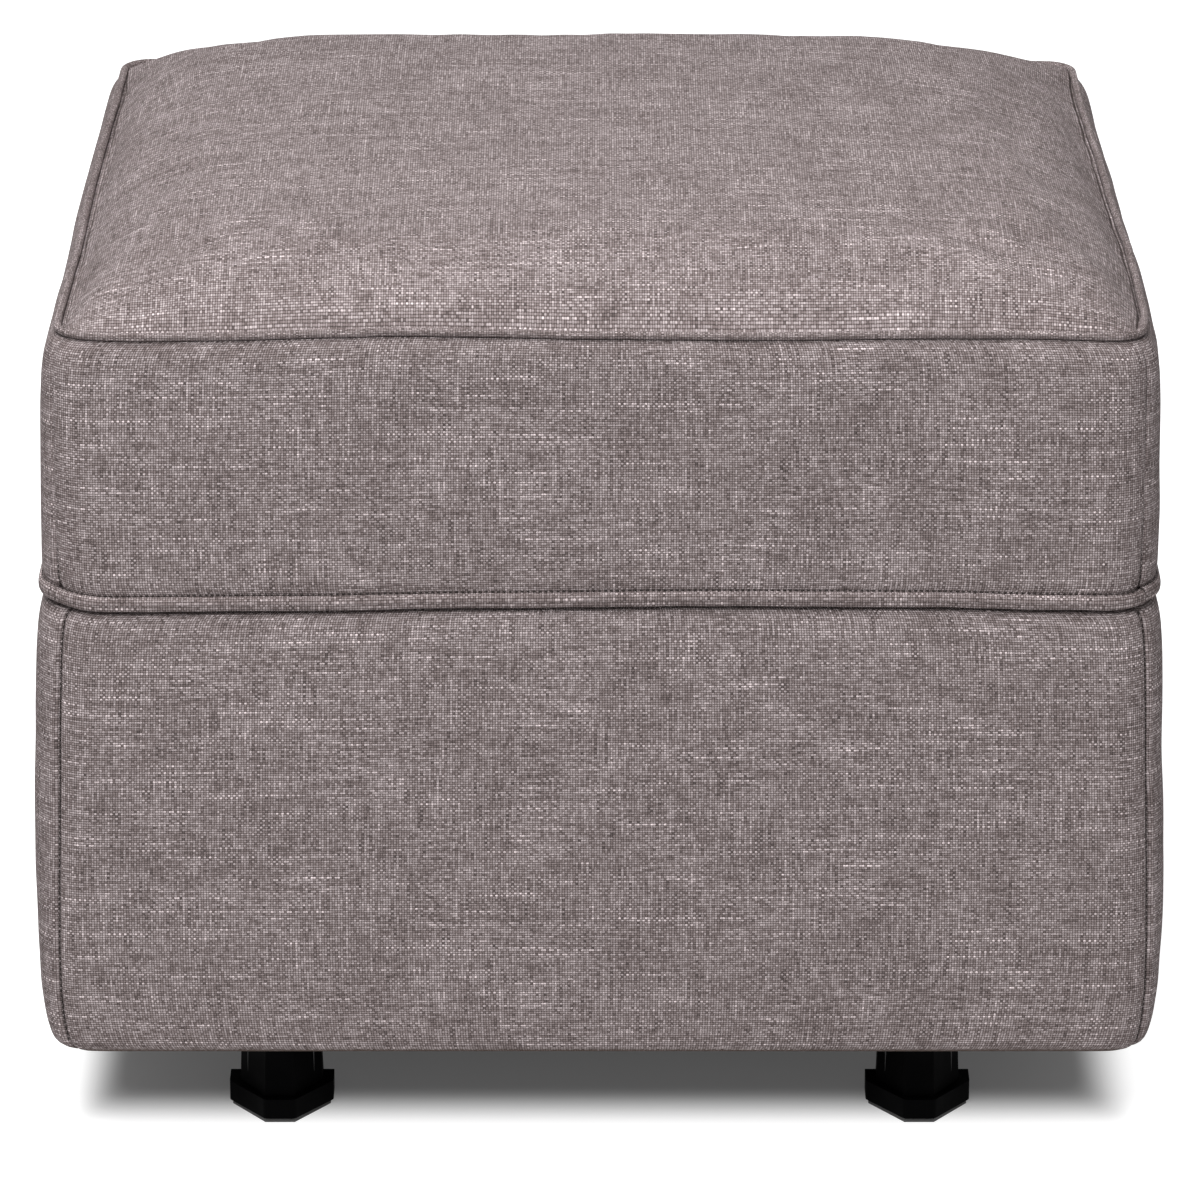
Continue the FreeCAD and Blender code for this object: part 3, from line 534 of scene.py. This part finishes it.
def patch(columns, rows, place, skirt=None):
    """A grid of cloth: place puts each column and row in millimetres, and both are its own map, in metres."""
    bm = bmesh.new()
    wide, high = len(columns) - 1, len(rows) - 1
    bmesh.ops.create_grid(bm, x_segments=wide, y_segments=high, size=0.5)
    own_map = bm.loops.layers.uv.new("cloth")
    spots = {v: (round((v.co.x + 0.5) * wide), round((v.co.y + 0.5) * high)) for v in bm.verts}
    for loop in (loop for face in bm.faces for loop in face.loops):
        i, j = spots[loop.vert]
        loop[own_map].uv = (columns[i] * MM, rows[j] * MM)
    for v, (i, j) in spots.items():
        v.co = Vector(place(columns[i], rows[j])) * MM
    if skirt:
        rim = [e for e in bm.edges if e.is_boundary]
        made = bmesh.ops.extrude_edge_only(bm, edges=rim)["geom"]
        for v in (g for g in made if isinstance(g, bmesh.types.BMVert)):
            v.co = Vector(skirt(v.co / MM)) * MM
    return bm


def merged(parts):
    """One bmesh of several."""
    whole = bmesh.new()
    for bm in parts:
        mesh = bpy.data.meshes.new("part")
        bm.to_mesh(mesh)
        bm.free()
        whole.from_mesh(mesh)
        bpy.data.meshes.remove(mesh)
    return whole


def thicken(piece, thick, smooth):
    """Gives a piece a wall inwards, in millimetres, and levels of subdivision."""
    if thick:
        wall = piece.modifiers.new("wall", "SOLIDIFY")
        wall.thickness = thick * MM
        wall.offset = -1.0
    if smooth:
        soft = piece.modifiers.new("soft", "SUBSURF")
        soft.levels = smooth
        soft.render_levels = smooth


def finish_piece(name, bm, material, nodes=(), closed=False, thick=0.0, smooth=0):
    """A soft piece of the ottoman's body, from its finished bmesh, in place of these CAD nodes."""
    if closed:
        bmesh.ops.remove_doubles(bm, verts=bm.verts, dist=0.01 * MM)
        bmesh.ops.recalc_face_normals(bm, faces=bm.faces)
    for face in bm.faces:
        face.smooth = True
    mesh = bpy.data.meshes.new(name)
    bm.to_mesh(mesh)
    bm.free()
    piece = bpy.data.objects.new(name, mesh)
    bpy.context.scene.collection.objects.link(piece)
    mesh.materials.append(material)
    thicken(piece, thick, smooth)
    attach(piece, "ottoman_body")
    if nodes:
        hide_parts(*nodes)
    return piece


# The covers' outline

def half_length(side):
    """From the middle of a side to its corner seams, along the usual outline."""
    whole = SEAM_X if side in ("front", "back") else SEAM_Y
    return whole - CORNER + CORNER * math.pi / 4


def around(side, along, radius):
    """Half of a side's straight part, and the same place along an outline of this corner radius."""
    level = half_length(side) + CORNER * (1.0 - math.pi / 4) - radius
    return level, along * (level + radius * math.pi / 4) / half_length(side)


def facing(side, along, radius=CORNER):
    """Outward and lengthwise directions of the outline, along millimetres from the middle of a side."""
    level, along = around(side, along, radius)
    turn = math.copysign(max(0.0, abs(along) - level) / radius, along)
    out = Vector((*OUTWARD[side], 0.0))
    lengthwise = Vector((-out.y, out.x, 0.0))
    cos, sin = math.cos(turn), math.sin(turn)
    return out * cos + lengthwise * sin, lengthwise * cos - out * sin


def outline(side, along, swell_x, swell_y, inset=0.0, radius=CORNER):
    """The point of the rounded outline, grown to the sides and to front and back."""
    depth, grow, grow_out = SEAM_Y, swell_x, swell_y
    if side in ("right", "left"):
        depth, grow, grow_out = SEAM_X, swell_y, swell_x
    level, along = around(side, along, radius)
    turn = max(0.0, abs(along) - level) / radius
    local = min(abs(along), level)
    local += grow * local / level + (radius - inset) * math.sin(turn)
    local = math.copysign(local, along)
    out = depth - radius + grow_out + (radius - inset) * math.cos(turn)
    out_x, out_y = OUTWARD[side]
    return out_x * out - out_y * local, out_y * out + out_x * local


def lean(x, y):
    """How far the top seam stands to the right of its place."""
    sideways = clamp(abs(x) / SEAM_X) ** 3
    return sideways * (between(RIGHT_LEAN, y) if x > 0 else -between(LEFT_LEAN, y))


def seam_wave(side, along, waves):
    """How far a seam lies above its mean height: as seen in front, and wandering elsewhere."""
    if side == "front":
        return between(waves, along)
    half = half_length(side)
    share = (along / half + 1.0) / 2.0
    at_left, at_right = waves[0][1], waves[-1][1]
    mean = {"right": at_right, "left": at_left, "back": at_right + (at_left - at_right) * share}[side]
    fade = clamp((half - abs(along)) / 60.0)
    return mean + fade * 1.6 * ripple(along, len(side) * 90.0, 0.0, 90.0, 4.0)


def profile_rows(profile, size):
    """Rows up a profile at about equal steps along it: length to height and the two swells."""
    lengths = [0.0]
    for (z0, s0, t0), (z1, s1, t1) in zip(profile, profile[1:]):
        lengths.append(lengths[-1] + math.dist((z0, (s0 + t0) / 2), (z1, (s1 + t1) / 2)))
    tables = [list(zip(lengths, column)) for column in zip(*profile)]
    return {at: [straight(table, at) for table in tables] for at in steps(0.0, lengths[-1], size)}


def corner_radius(profile, share):
    """Corner radius, share of the way up a profile: tight at the top seam and at the base's foot."""
    if profile is PADDING:
        return CORNER
    tight = share ** 3 if profile is BOXING else (1.0 - share) ** 4
    return CORNER + (TIGHT_CORNER - CORNER) * tight


def groove_depth(profile, share):
    """Depth of the corner seams' grooves. The boxing's are pressed flat, but for their foot."""
    return 0.5 + 1.9 * clamp(1.0 - share / 0.35) if profile is BOXING else GROOVE[0]


def panel_ends(side, profile):
    """Where a panel's seams lie along the outline: the base's front left one stands on the front."""
    half = half_length(side)
    shift = SEAM_SHIFT if profile is BASE else 0.0
    return (shift if side == "front" else 0.0) - half, half + (shift if side == "left" else 0.0)


def side_cover(side, profile, size, lower_waves, upper_waves, lumps, turned_in=True):
    """One panel of a side cover from corner seam to corner seam, its allowances turned in or left off."""
    start, end = panel_ends(side, profile)
    rows = profile_rows(profile, size)
    low, high = profile[0][0], profile[-1][0]

    def place(along, at):
        z, swell_x, swell_y = rows[at]
        share = clamp((z - low) / (high - low))
        z += seam_wave(side, along, lower_waves) * (1.0 - share) ** 3 if lower_waves else 0.0
        z += seam_wave(side, along, upper_waves) * share ** 3 if upper_waves else 0.0
        to_seam = min(along - start, end - along)
        groove = groove_depth(profile, share) * math.exp(-(max(0.0, to_seam) / GROOVE[1]) ** 2)
        inset = groove + DIP[0] * math.exp(-(to_seam / DIP[1]) ** 2) + max(0.0, -to_seam)
        on_panel = max(start, min(end, along))
        x, y = outline(side, on_panel, swell_x, swell_y, inset, corner_radius(profile, share))
        middle = math.sin(math.pi * share)
        lump = lumps * middle * (ripple(x, y, z, 85.0, 2.0) + 0.5 * ripple(x, y, z, 34.0, 9.0))
        out_x, out_y = OUTWARD[side]
        if upper_waves is TOP_WAVE:
            x += lean(x, y) * share ** 3
        return x + out_x * lump, y + out_y * lump, z

    columns = sewn_steps(start, end) if turned_in else steps(start + 1.0, end - 1.0, 8.0)
    return patch(columns, list(rows), place)


def crown(x, y):
    """Height of the top over its seam."""
    def rise(edge):
        """Steep near the seam and slow further in."""
        edge = max(0.0, edge)
        return 1.0 - 0.6 * math.exp(-edge / 17.0) - 0.4 * math.exp(-edge / 50.0)
    return CROWN_RISE * rise(SEAM_X - abs(x)) * rise(SEAM_Y - abs(y))


def round_corner(x, y, radius):
    """Moves a point of the plain rectangle into the outline with round corners."""
    p = (abs(x) - SEAM_X + radius) / radius
    q = (abs(y) - SEAM_Y + radius) / radius
    if p <= 0.0 or q <= 0.0:
        return x, y
    p, q = p * math.sqrt(1.0 - q * q / 2.0), q * math.sqrt(1.0 - p * p / 2.0)
    return math.copysign(SEAM_X - radius + radius * p, x), math.copysign(SEAM_Y - radius + radius * q, y)


def top_place(x, y):
    """A point of the crowned top. Its edge dips beside the piping, and rises into it at the back corners."""
    edge = min(SEAM_X - abs(x), SEAM_Y - abs(y))
    rise = crown(x, y)
    uneven = 0.9 * (ripple(x, y, 0.0, 110.0, 6.0) + 0.4 * ripple(x, y, 0.0, 45.0, 3.0))
    z = SEAM_Z + rise + clamp(edge / 60.0) * uneven

    # The rear right part sinks, and the front edge wavers with its seam
    z -= between(RIGHT_SAG, x) * clamp((y + 60.0) / 180.0) * clamp(rise / 12.0)
    z += between(TOP_WAVE, x) * clamp(1.0 - (y + SEAM_Y) / 40.0)

    # One at a back corner of the seam, nought 45 mm away
    back_corner = clamp(1.0 - math.hypot(SEAM_X - abs(x), SEAM_Y - y) / 45.0)
    z += (2.5 * back_corner - 1.5) * math.exp(-max(0.0, edge) / 2.0)
    x, y = round_corner(x, y, TIGHT_CORNER)
    into_cord = 1.6 * back_corner
    x *= 1.0 + into_cord / SEAM_X
    y *= 1.0 + into_cord / SEAM_Y
    return x + lean(x, y), y, z


def top_skirt(place):
    """Where the top's edge goes, turned down and in."""
    inward = Vector((-math.copysign(1.2, place.x), -math.copysign(1.1, place.y), 0.0))
    return place + inward + Vector((0.0, 0.0, -4.5))


def cord_ring(swell_x, swell_y, height, waves, section, lumpy, radius=CORNER, leaning=False):
    """A cord sewn round the body, its map along and round it. section gives outward and up for an angle."""
    half_turns = 7
    turns = [CORD_MAP * math.pi * i / half_turns for i in range(2 * half_turns + 1)]

    def side_part(side):
        def place(along, turned):
            x, y = outline(side, along, swell_x, swell_y, 0.0, radius)
            outward, _ = facing(side, along, radius)
            grow = 1.0 + lumpy * ripple(x, y, 0.0, 16.0, 5.0)
            out, up = section(turned / CORD_MAP)
            if leaning:
                x += lean(x, y)
            point = Vector((x, y, height + seam_wave(side, along, waves)))
            return point + outward * out * grow + Vector((0.0, 0.0, up * grow))
        half = half_length(side)
        return patch(steps(-half, half, 3.0), turns, place)
    return merged([side_part(side) for side in SIDES])


def round_section(radius):
    """A round cord."""
    return lambda turn: (radius * math.cos(turn), radius * math.sin(turn))


def flat_section(out, up, power):
    """A cord pressed to a rounder rectangle than a circle."""
    def point(turn):
        c, s = math.cos(turn), math.sin(turn)
        return out * math.copysign(abs(c) ** power, c), up * math.copysign(abs(s) ** power, s)
    return point


def stitch_run(spots, length, wide, high):
    """Small stitches, one at each spot: place in millimetres, direction along, direction outward."""
    bm = bmesh.new()
    for place, lengthwise, outward in spots:
        across = outward.cross(lengthwise).normalized()
        axes = (lengthwise.normalized() * length / 2, across * wide / 2, outward.normalized() * high / 2)
        turned = (Matrix(axes) * MM).transposed().to_4x4()
        turned.translation = place * MM
        bmesh.ops.create_icosphere(bm, subdivisions=1, radius=1.0, matrix=turned)
    return bm


def waist_stitches():
    """Topstitching along the boxing's foot, just over the welt."""
    for side in SIDES:
        half = half_length(side)
        for along in steps(-half + 1.4, half - 1.4, WAIST_PITCH):
            x, y = outline(side, along, *WAIST_STITCH_SWELL)
            outward, lengthwise = facing(side, along)
            z = WAIST_Z + WAIST_STITCH_RISE + seam_wave(side, along, WAIST_WAVE)
            tilt = Vector((0.0, 0.0, 0.12 * ripple(along, 7.0, 0.0, 3.0, len(side))))
            yield Vector((x, y, z)) + outward * 0.1, lengthwise + tilt, outward


def corner_stitches(profile, low, high, depth):
    """Stitches down the corner seams, depth millimetres in."""
    foot, head = profile[0][0], profile[-1][0]
    for side in SIDES:
        _, end = panel_ends(side, profile)
        for z in steps(low, high, CORNER_PITCH):
            share = clamp((z - foot) / (head - foot))
            swell_x, swell_y = (straight([(row[0], row[i]) for row in profile], z) for i in (1, 2))
            x, y = outline(side, end, swell_x, swell_y, depth, corner_radius(profile, share))
            if profile is BOXING:
                x += lean(x, y) * share ** 3
            outward, _ = facing(side, end)
            yield Vector((x, y, z)), Vector((0.0, 0.0, 1.0)), outward


def relax_cloth(piece):
    """Blows a panel up a little by cloth simulation, with the two outer rows of its edge held."""
    mesh = piece.data
    before = [v.co.copy() for v in mesh.vertices]
    bm = bmesh.new()
    bm.from_mesh(mesh)
    rim = {v.index for v in bm.verts if v.is_boundary}
    rim |= {e.other_vert(v).index for v in bm.verts if v.index in rim for e in v.link_edges}
    bm.free()
    held = piece.vertex_groups.new(name="seam")
    held.add(list(rim), 1.0, "REPLACE")
    cloth = piece.modifiers.new("cloth", "CLOTH")
    cloth.settings.quality = 4
    cloth.settings.mass = 0.3
    cloth.settings.vertex_group_mass = "seam"
    cloth.settings.use_pressure = True
    cloth.settings.uniform_pressure_force = SIM_PRESSURE
    cloth.settings.effector_weights.gravity = 0.0
    # Each edge of the cloth may grow by 0.4 %
    cloth.settings.shrink_min = -0.004
    cloth.collision_settings.use_collision = False
    scene = bpy.context.scene
    for at in range(1, SIM_FRAMES + 1):
        scene.frame_set(at)
    shaped = piece.evaluated_get(bpy.context.evaluated_depsgraph_get()).to_mesh()
    after = [v.co.copy() for v in shaped.vertices]
    piece.modifiers.remove(cloth)
    piece.vertex_groups.clear()
    scene.frame_set(1)
    for v, old, new in zip(mesh.vertices, before, after):
        move = new - old
        v.co = old + move * min(1.0, SIM_CAP * MM / max(move.length, 1e-9))


# Camera, floor and light

def set_camera():
    camera = bpy.data.objects.new("camera", bpy.data.cameras.new("camera"))
    bpy.context.scene.collection.objects.link(camera)
    camera.location = CAMERA_PLACE
    camera.rotation_euler = (math.radians(CAMERA_TILT), 0.0, 0.0)
    camera.data.sensor_width = 36.0
    camera.data.lens = CAMERA_LENS
    bpy.context.scene.camera = camera


def set_floor():
    """A pale floor that the camera and reflections see white, but for a painted shadow under the ottoman,
    where its glow is low.
    """
    bm = bmesh.new()
    bmesh.ops.create_grid(bm, x_segments=1, y_segments=1, size=6.0)
    mesh = bpy.data.meshes.new("floor")
    bm.to_mesh(mesh)
    bm.free()
    floor = bpy.data.objects.new("floor", mesh)
    bpy.context.scene.collection.objects.link(floor)
    ground = Finish("pale_floor_painted_shadow", Base_Color=paint(0.56, 0.56, 0.56), Roughness=0.9, Specular_IOR_Level=0.1,
                    Emission_Strength=1.0)
    x, y, _ = ground.split(ground.place())
    # A painted shadow: the glow is low under the ottoman and rises beside and before it
    beside = (x.math("ABSOLUTE") - PAINTED_SHADOW_BESIDE[0]) / PAINTED_SHADOW_BESIDE[1]
    before = (y.math("ABSOLUTE") - PAINTED_SHADOW_BEFORE[0]) / PAINTED_SHADOW_BEFORE[1]
    painted_shadow_glow = beside.math("SMOOTH_MAX", before, 0.4).over(0.0, 1.0, *FLOOR_GLOW)
    glow = ground.seen_rays("Is Camera Ray", "Is Glossy Ray") * painted_shadow_glow
    ground.feed(Emission_Color=ground.join(glow, glow, glow))
    mesh.materials.append(ground.material)


def set_world():
    """White to the camera and in reflections, and a weak even light on the object."""
    world = bpy.data.worlds.new("studio")
    bpy.context.scene.world = world
    world.use_nodes = True
    sky = Nodes(world.node_tree)
    clear = sky.seen_rays("Is Camera Ray", "Is Glossy Ray", "Is Transmission Ray")
    strength = clear * (1.0 - WORLD_LEVEL) + WORLD_LEVEL
    light = sky.node("ShaderNodeBackground", {}, {"Color": paint(1, 1, 1), "Strength": strength})
    sky.node("ShaderNodeOutputWorld", {}, {"Surface": light})


def set_lamps():
    for name, (place, target, size, power) in LAMPS.items():
        data = bpy.data.lights.new(name, "AREA")
        data.shape = "RECTANGLE"
        data.size, data.size_y = size
        data.energy = power
        light = bpy.data.objects.new(name, data)
        bpy.context.scene.collection.objects.link(light)
        light.location = place
        light.rotation_euler = (Vector(target) - Vector(place)).to_track_quat("-Z", "Y").to_euler()


# The upholstered body

def sew_top():
    """The top panel, blown up a little between its seams."""
    weave = woven_cover("top_cover_weave", seam_shade=(SEAM_X * MM, SEAM_Y * MM))
    bm = patch(edged_steps(SEAM_X), edged_steps(SEAM_Y), top_place, top_skirt)
    piece = finish_piece("top_cloth", bm, weave, ["top_panel"])
    relax_cloth(piece)
    thicken(piece, TOP_WALL, 1)


def sew_sides():
    """The boxing and the base cover, a panel of each to a side."""
    boxing_weave = woven_cover("cover_weave")
    base_weave = woven_cover("base_cover_weave", turned_edge_shade=TURNED_EDGE_SHADE)
    for side in SIDES:
        bm = side_cover(side, BOXING, size=4.5, lower_waves=WAIST_WAVE, upper_waves=TOP_WAVE, lumps=1.3)
        piece = finish_piece(f"boxing_cloth_{side}", bm, boxing_weave, [f"boxing_{side}"],
                             thick=COVER_WALL, smooth=1)
        bm = side_cover(side, BASE, size=4.0, lower_waves=None, upper_waves=WAIST_WAVE, lumps=1.4)
        piece = finish_piece(f"base_cloth_{side}", bm, base_weave, [f"base_cover_{side}"],
                             thick=COVER_WALL, smooth=1)


def sew_piping_and_welt():
    trim = woven_cover("trim_weave", colour=TRIM_COLOUR)
    bm = cord_ring(*PIPING_SWELL, PIPING_Z, TOP_WAVE, round_section(PIPING_RADIUS), lumpy=0.10,
                   radius=TIGHT_CORNER, leaning=True)
    finish_piece("piping_cord", bm, trim, ["top_piping"], closed=True, smooth=1)
    bm = cord_ring(*WELT_SWELL, WAIST_Z, WAIST_WAVE, flat_section(*WELT_SECTION), lumpy=0.06)
    finish_piece("welt_cord", bm, trim, ["waist_welt"], closed=True, smooth=1)


def sew_stitches():
    thread = stitch_hole_shade_thread()
    bm = stitch_run(waist_stitches(), *WAIST_STITCH)
    finish_piece("waist_stitches", bm, thread)
    spots = [*corner_stitches(BOXING, *BOXING_STITCHES), *corner_stitches(BASE, *BASE_STITCHES)]
    finish_piece("corner_stitches", stitch_run(spots, *CORNER_STITCH), thread)


# Filling, webbing and dust cloth

def pad_block(low, high, cells, soften):
    """A closed pad in the box from low to high, with round edges and slightly uneven."""
    middle, size = (low + high) / 2, (high - low) / 2
    bm = bmesh.new()
    bmesh.ops.create_cube(bm, size=2.0)
    bmesh.ops.subdivide_edges(bm, edges=bm.edges, cuts=cells, use_grid_fill=True)
    for v in bm.verts:
        spot = Vector(v.co[i] * size[i] for i in range(3))
        core = Vector(math.copysign(max(0.0, abs(c) - min(soften, most)), c) for c, most in zip(spot, size))
        out = spot - core
        if out.length > 0:
            spot = core + out.normalized() * min(soften, *size)
        spot.z += 0.25 * ripple(*(middle + spot), 30.0)
        v.co = (middle + spot) * MM
    return bm


def seat_block():
    """The crowned seat foam, drawn in at the waist."""
    foot, below_seam = 290.0, 8.0
    bm = bmesh.new()
    bmesh.ops.create_cube(bm, size=2.0)
    bmesh.ops.subdivide_edges(bm, edges=bm.edges, cuts=23, use_grid_fill=True)
    for v in bm.verts:
        u, w, t = v.co
        share = (t + 1.0) / 2.0
        x, y = round_corner(u * SEAM_X, w * SEAM_Y, CORNER)
        grown = between(FOAM_SWELL, share)
        x *= 1.0 + grown / SEAM_X
        y *= 1.0 + 0.6 * grown / SEAM_Y
        top = SEAM_Z - below_seam + 0.94 * crown(u * SEAM_X, w * SEAM_Y)
        v.co = Vector((x, y, foot + (top - foot) * share)) * MM
    return bm


def strap_grid(lengthwise):
    """Three woven straps in one direction, over and under the others."""
    level, apart, half_wide = 286.2, 150.0, 25.0
    reach = 232.0 if lengthwise else 258.0
    upper = 1 if lengthwise else -1
    parts = []
    for row in (-1, 0, 1):
        def place(across, along):
            crossing = math.cos(math.pi * along / apart) * (1 if row % 2 else -1)
            lift = 0.55 * upper * crossing * clamp((reach - abs(along)) / 20.0)
            z = level + lift - 0.3 * upper
            u, v = row * apart + across, along
            return (u, v, z) if lengthwise else (v, u, z)
        parts.append(patch(steps(-half_wide, half_wide, 5.0), steps(-reach, reach, 8.0), place))
    return merged(parts)


def dust_panels():
    """Three panels of dust cloth, parted where the hanger plates pass."""
    level, half = 54.9, 218.0

    def sagging(u, v):
        sag = math.cos(math.pi * clamp(abs(v) / half) / 2.0) * (0.6 + 0.4 * ripple(u, v, 0.0, 120.0, 1.0))
        return u, v, level - 1.4 * sag + 0.15 * ripple(u, v, 0.0, 25.0, 7.0)
    spans = [(-163.5, 163.5), (188.5, 244.0), (-244.0, -188.5)]
    return merged([patch(steps(a, b, 9.0), steps(-half, half, 9.0), sagging) for a, b in spans])


def pad_sides():
    """The wadding behind the base cover, a panel to a side."""
    wool = wadding()
    for side in SIDES:
        bm = side_cover(side, PADDING, size=7.0, lower_waves=None, upper_waves=None, lumps=1.0,
                        turned_in=False)
        piece = finish_piece(f"wadding_{side}", bm, wool, [f"side_padding_{side}"],
                             thick=WADDING[side])


def lay_seat():
    """The foam, and the felt under it."""
    piece = finish_piece("foam_block", seat_block(), open_foam(), ["seat_foam"], closed=True,
                         smooth=1)
    low, high = (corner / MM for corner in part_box("felt_pad"))
    bm = pad_block(low, high, cells=40, soften=1.2)
    piece = finish_piece("felt_sheet", bm, grey_felt(), ["felt_pad"], closed=True)


def weave_webbing():
    strap = strap_weave()
    for lengthwise, word in ((True, "lengthwise"), (False, "crosswise")):
        finish_piece(f"straps_{word}", strap_grid(lengthwise), strap, [f"webbing_{word}"],
                     thick=STRAP_WALL)


def stretch_dust_cloth():
    piece = finish_piece("dust_cloth", dust_panels(), black_spunbond(), ["dust_cover"],
                         thick=DUST_WALL)


# Finishes of the CAD nodes that keep their meshes, by the start of their names
FINISHES = {
    "boot_": moulded_black,
    "floor_glides": glide_grey,
    "floor_rail_": painted_steel,
    "cross_member_": painted_steel,
    "hanger_plate_left": painted_steel,
    "hanger_plate_right": painted_steel,
    "swing_link_": painted_steel,
    "carriage_rail_": painted_steel,
    "hanger_plate_bolts": zinc_steel,
    "hanger_plate_nuts": zinc_steel,
    "upper_pivot_": zinc_steel,
    "lower_pivot_": zinc_steel,
    "lag_screws": zinc_steel,
    "link_bearings_": zinc_steel,
    "travel_bumpers": black_rubber,
    "frame_panel_": plywood,
    "corner_blocks": plywood,
    "ledger_": hardwood,
}


def finish_kept_nodes():
    """Gives the kept nodes their finishes, each made once."""
    made = {}
    for name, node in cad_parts.items():
        for head, maker in FINISHES.items():
            if name.startswith(head):
                if maker not in made:
                    made[maker] = maker()
                node.data.materials.clear()
                node.data.materials.append(made[maker])


bpy.context.scene.view_settings.view_transform = "Standard"
set_camera()
set_floor()
set_world()
set_lamps()
sew_top()
sew_sides()
sew_piping_and_welt()
sew_stitches()
pad_sides()
lay_seat()
weave_webbing()
stretch_dust_cloth()
finish_kept_nodes()
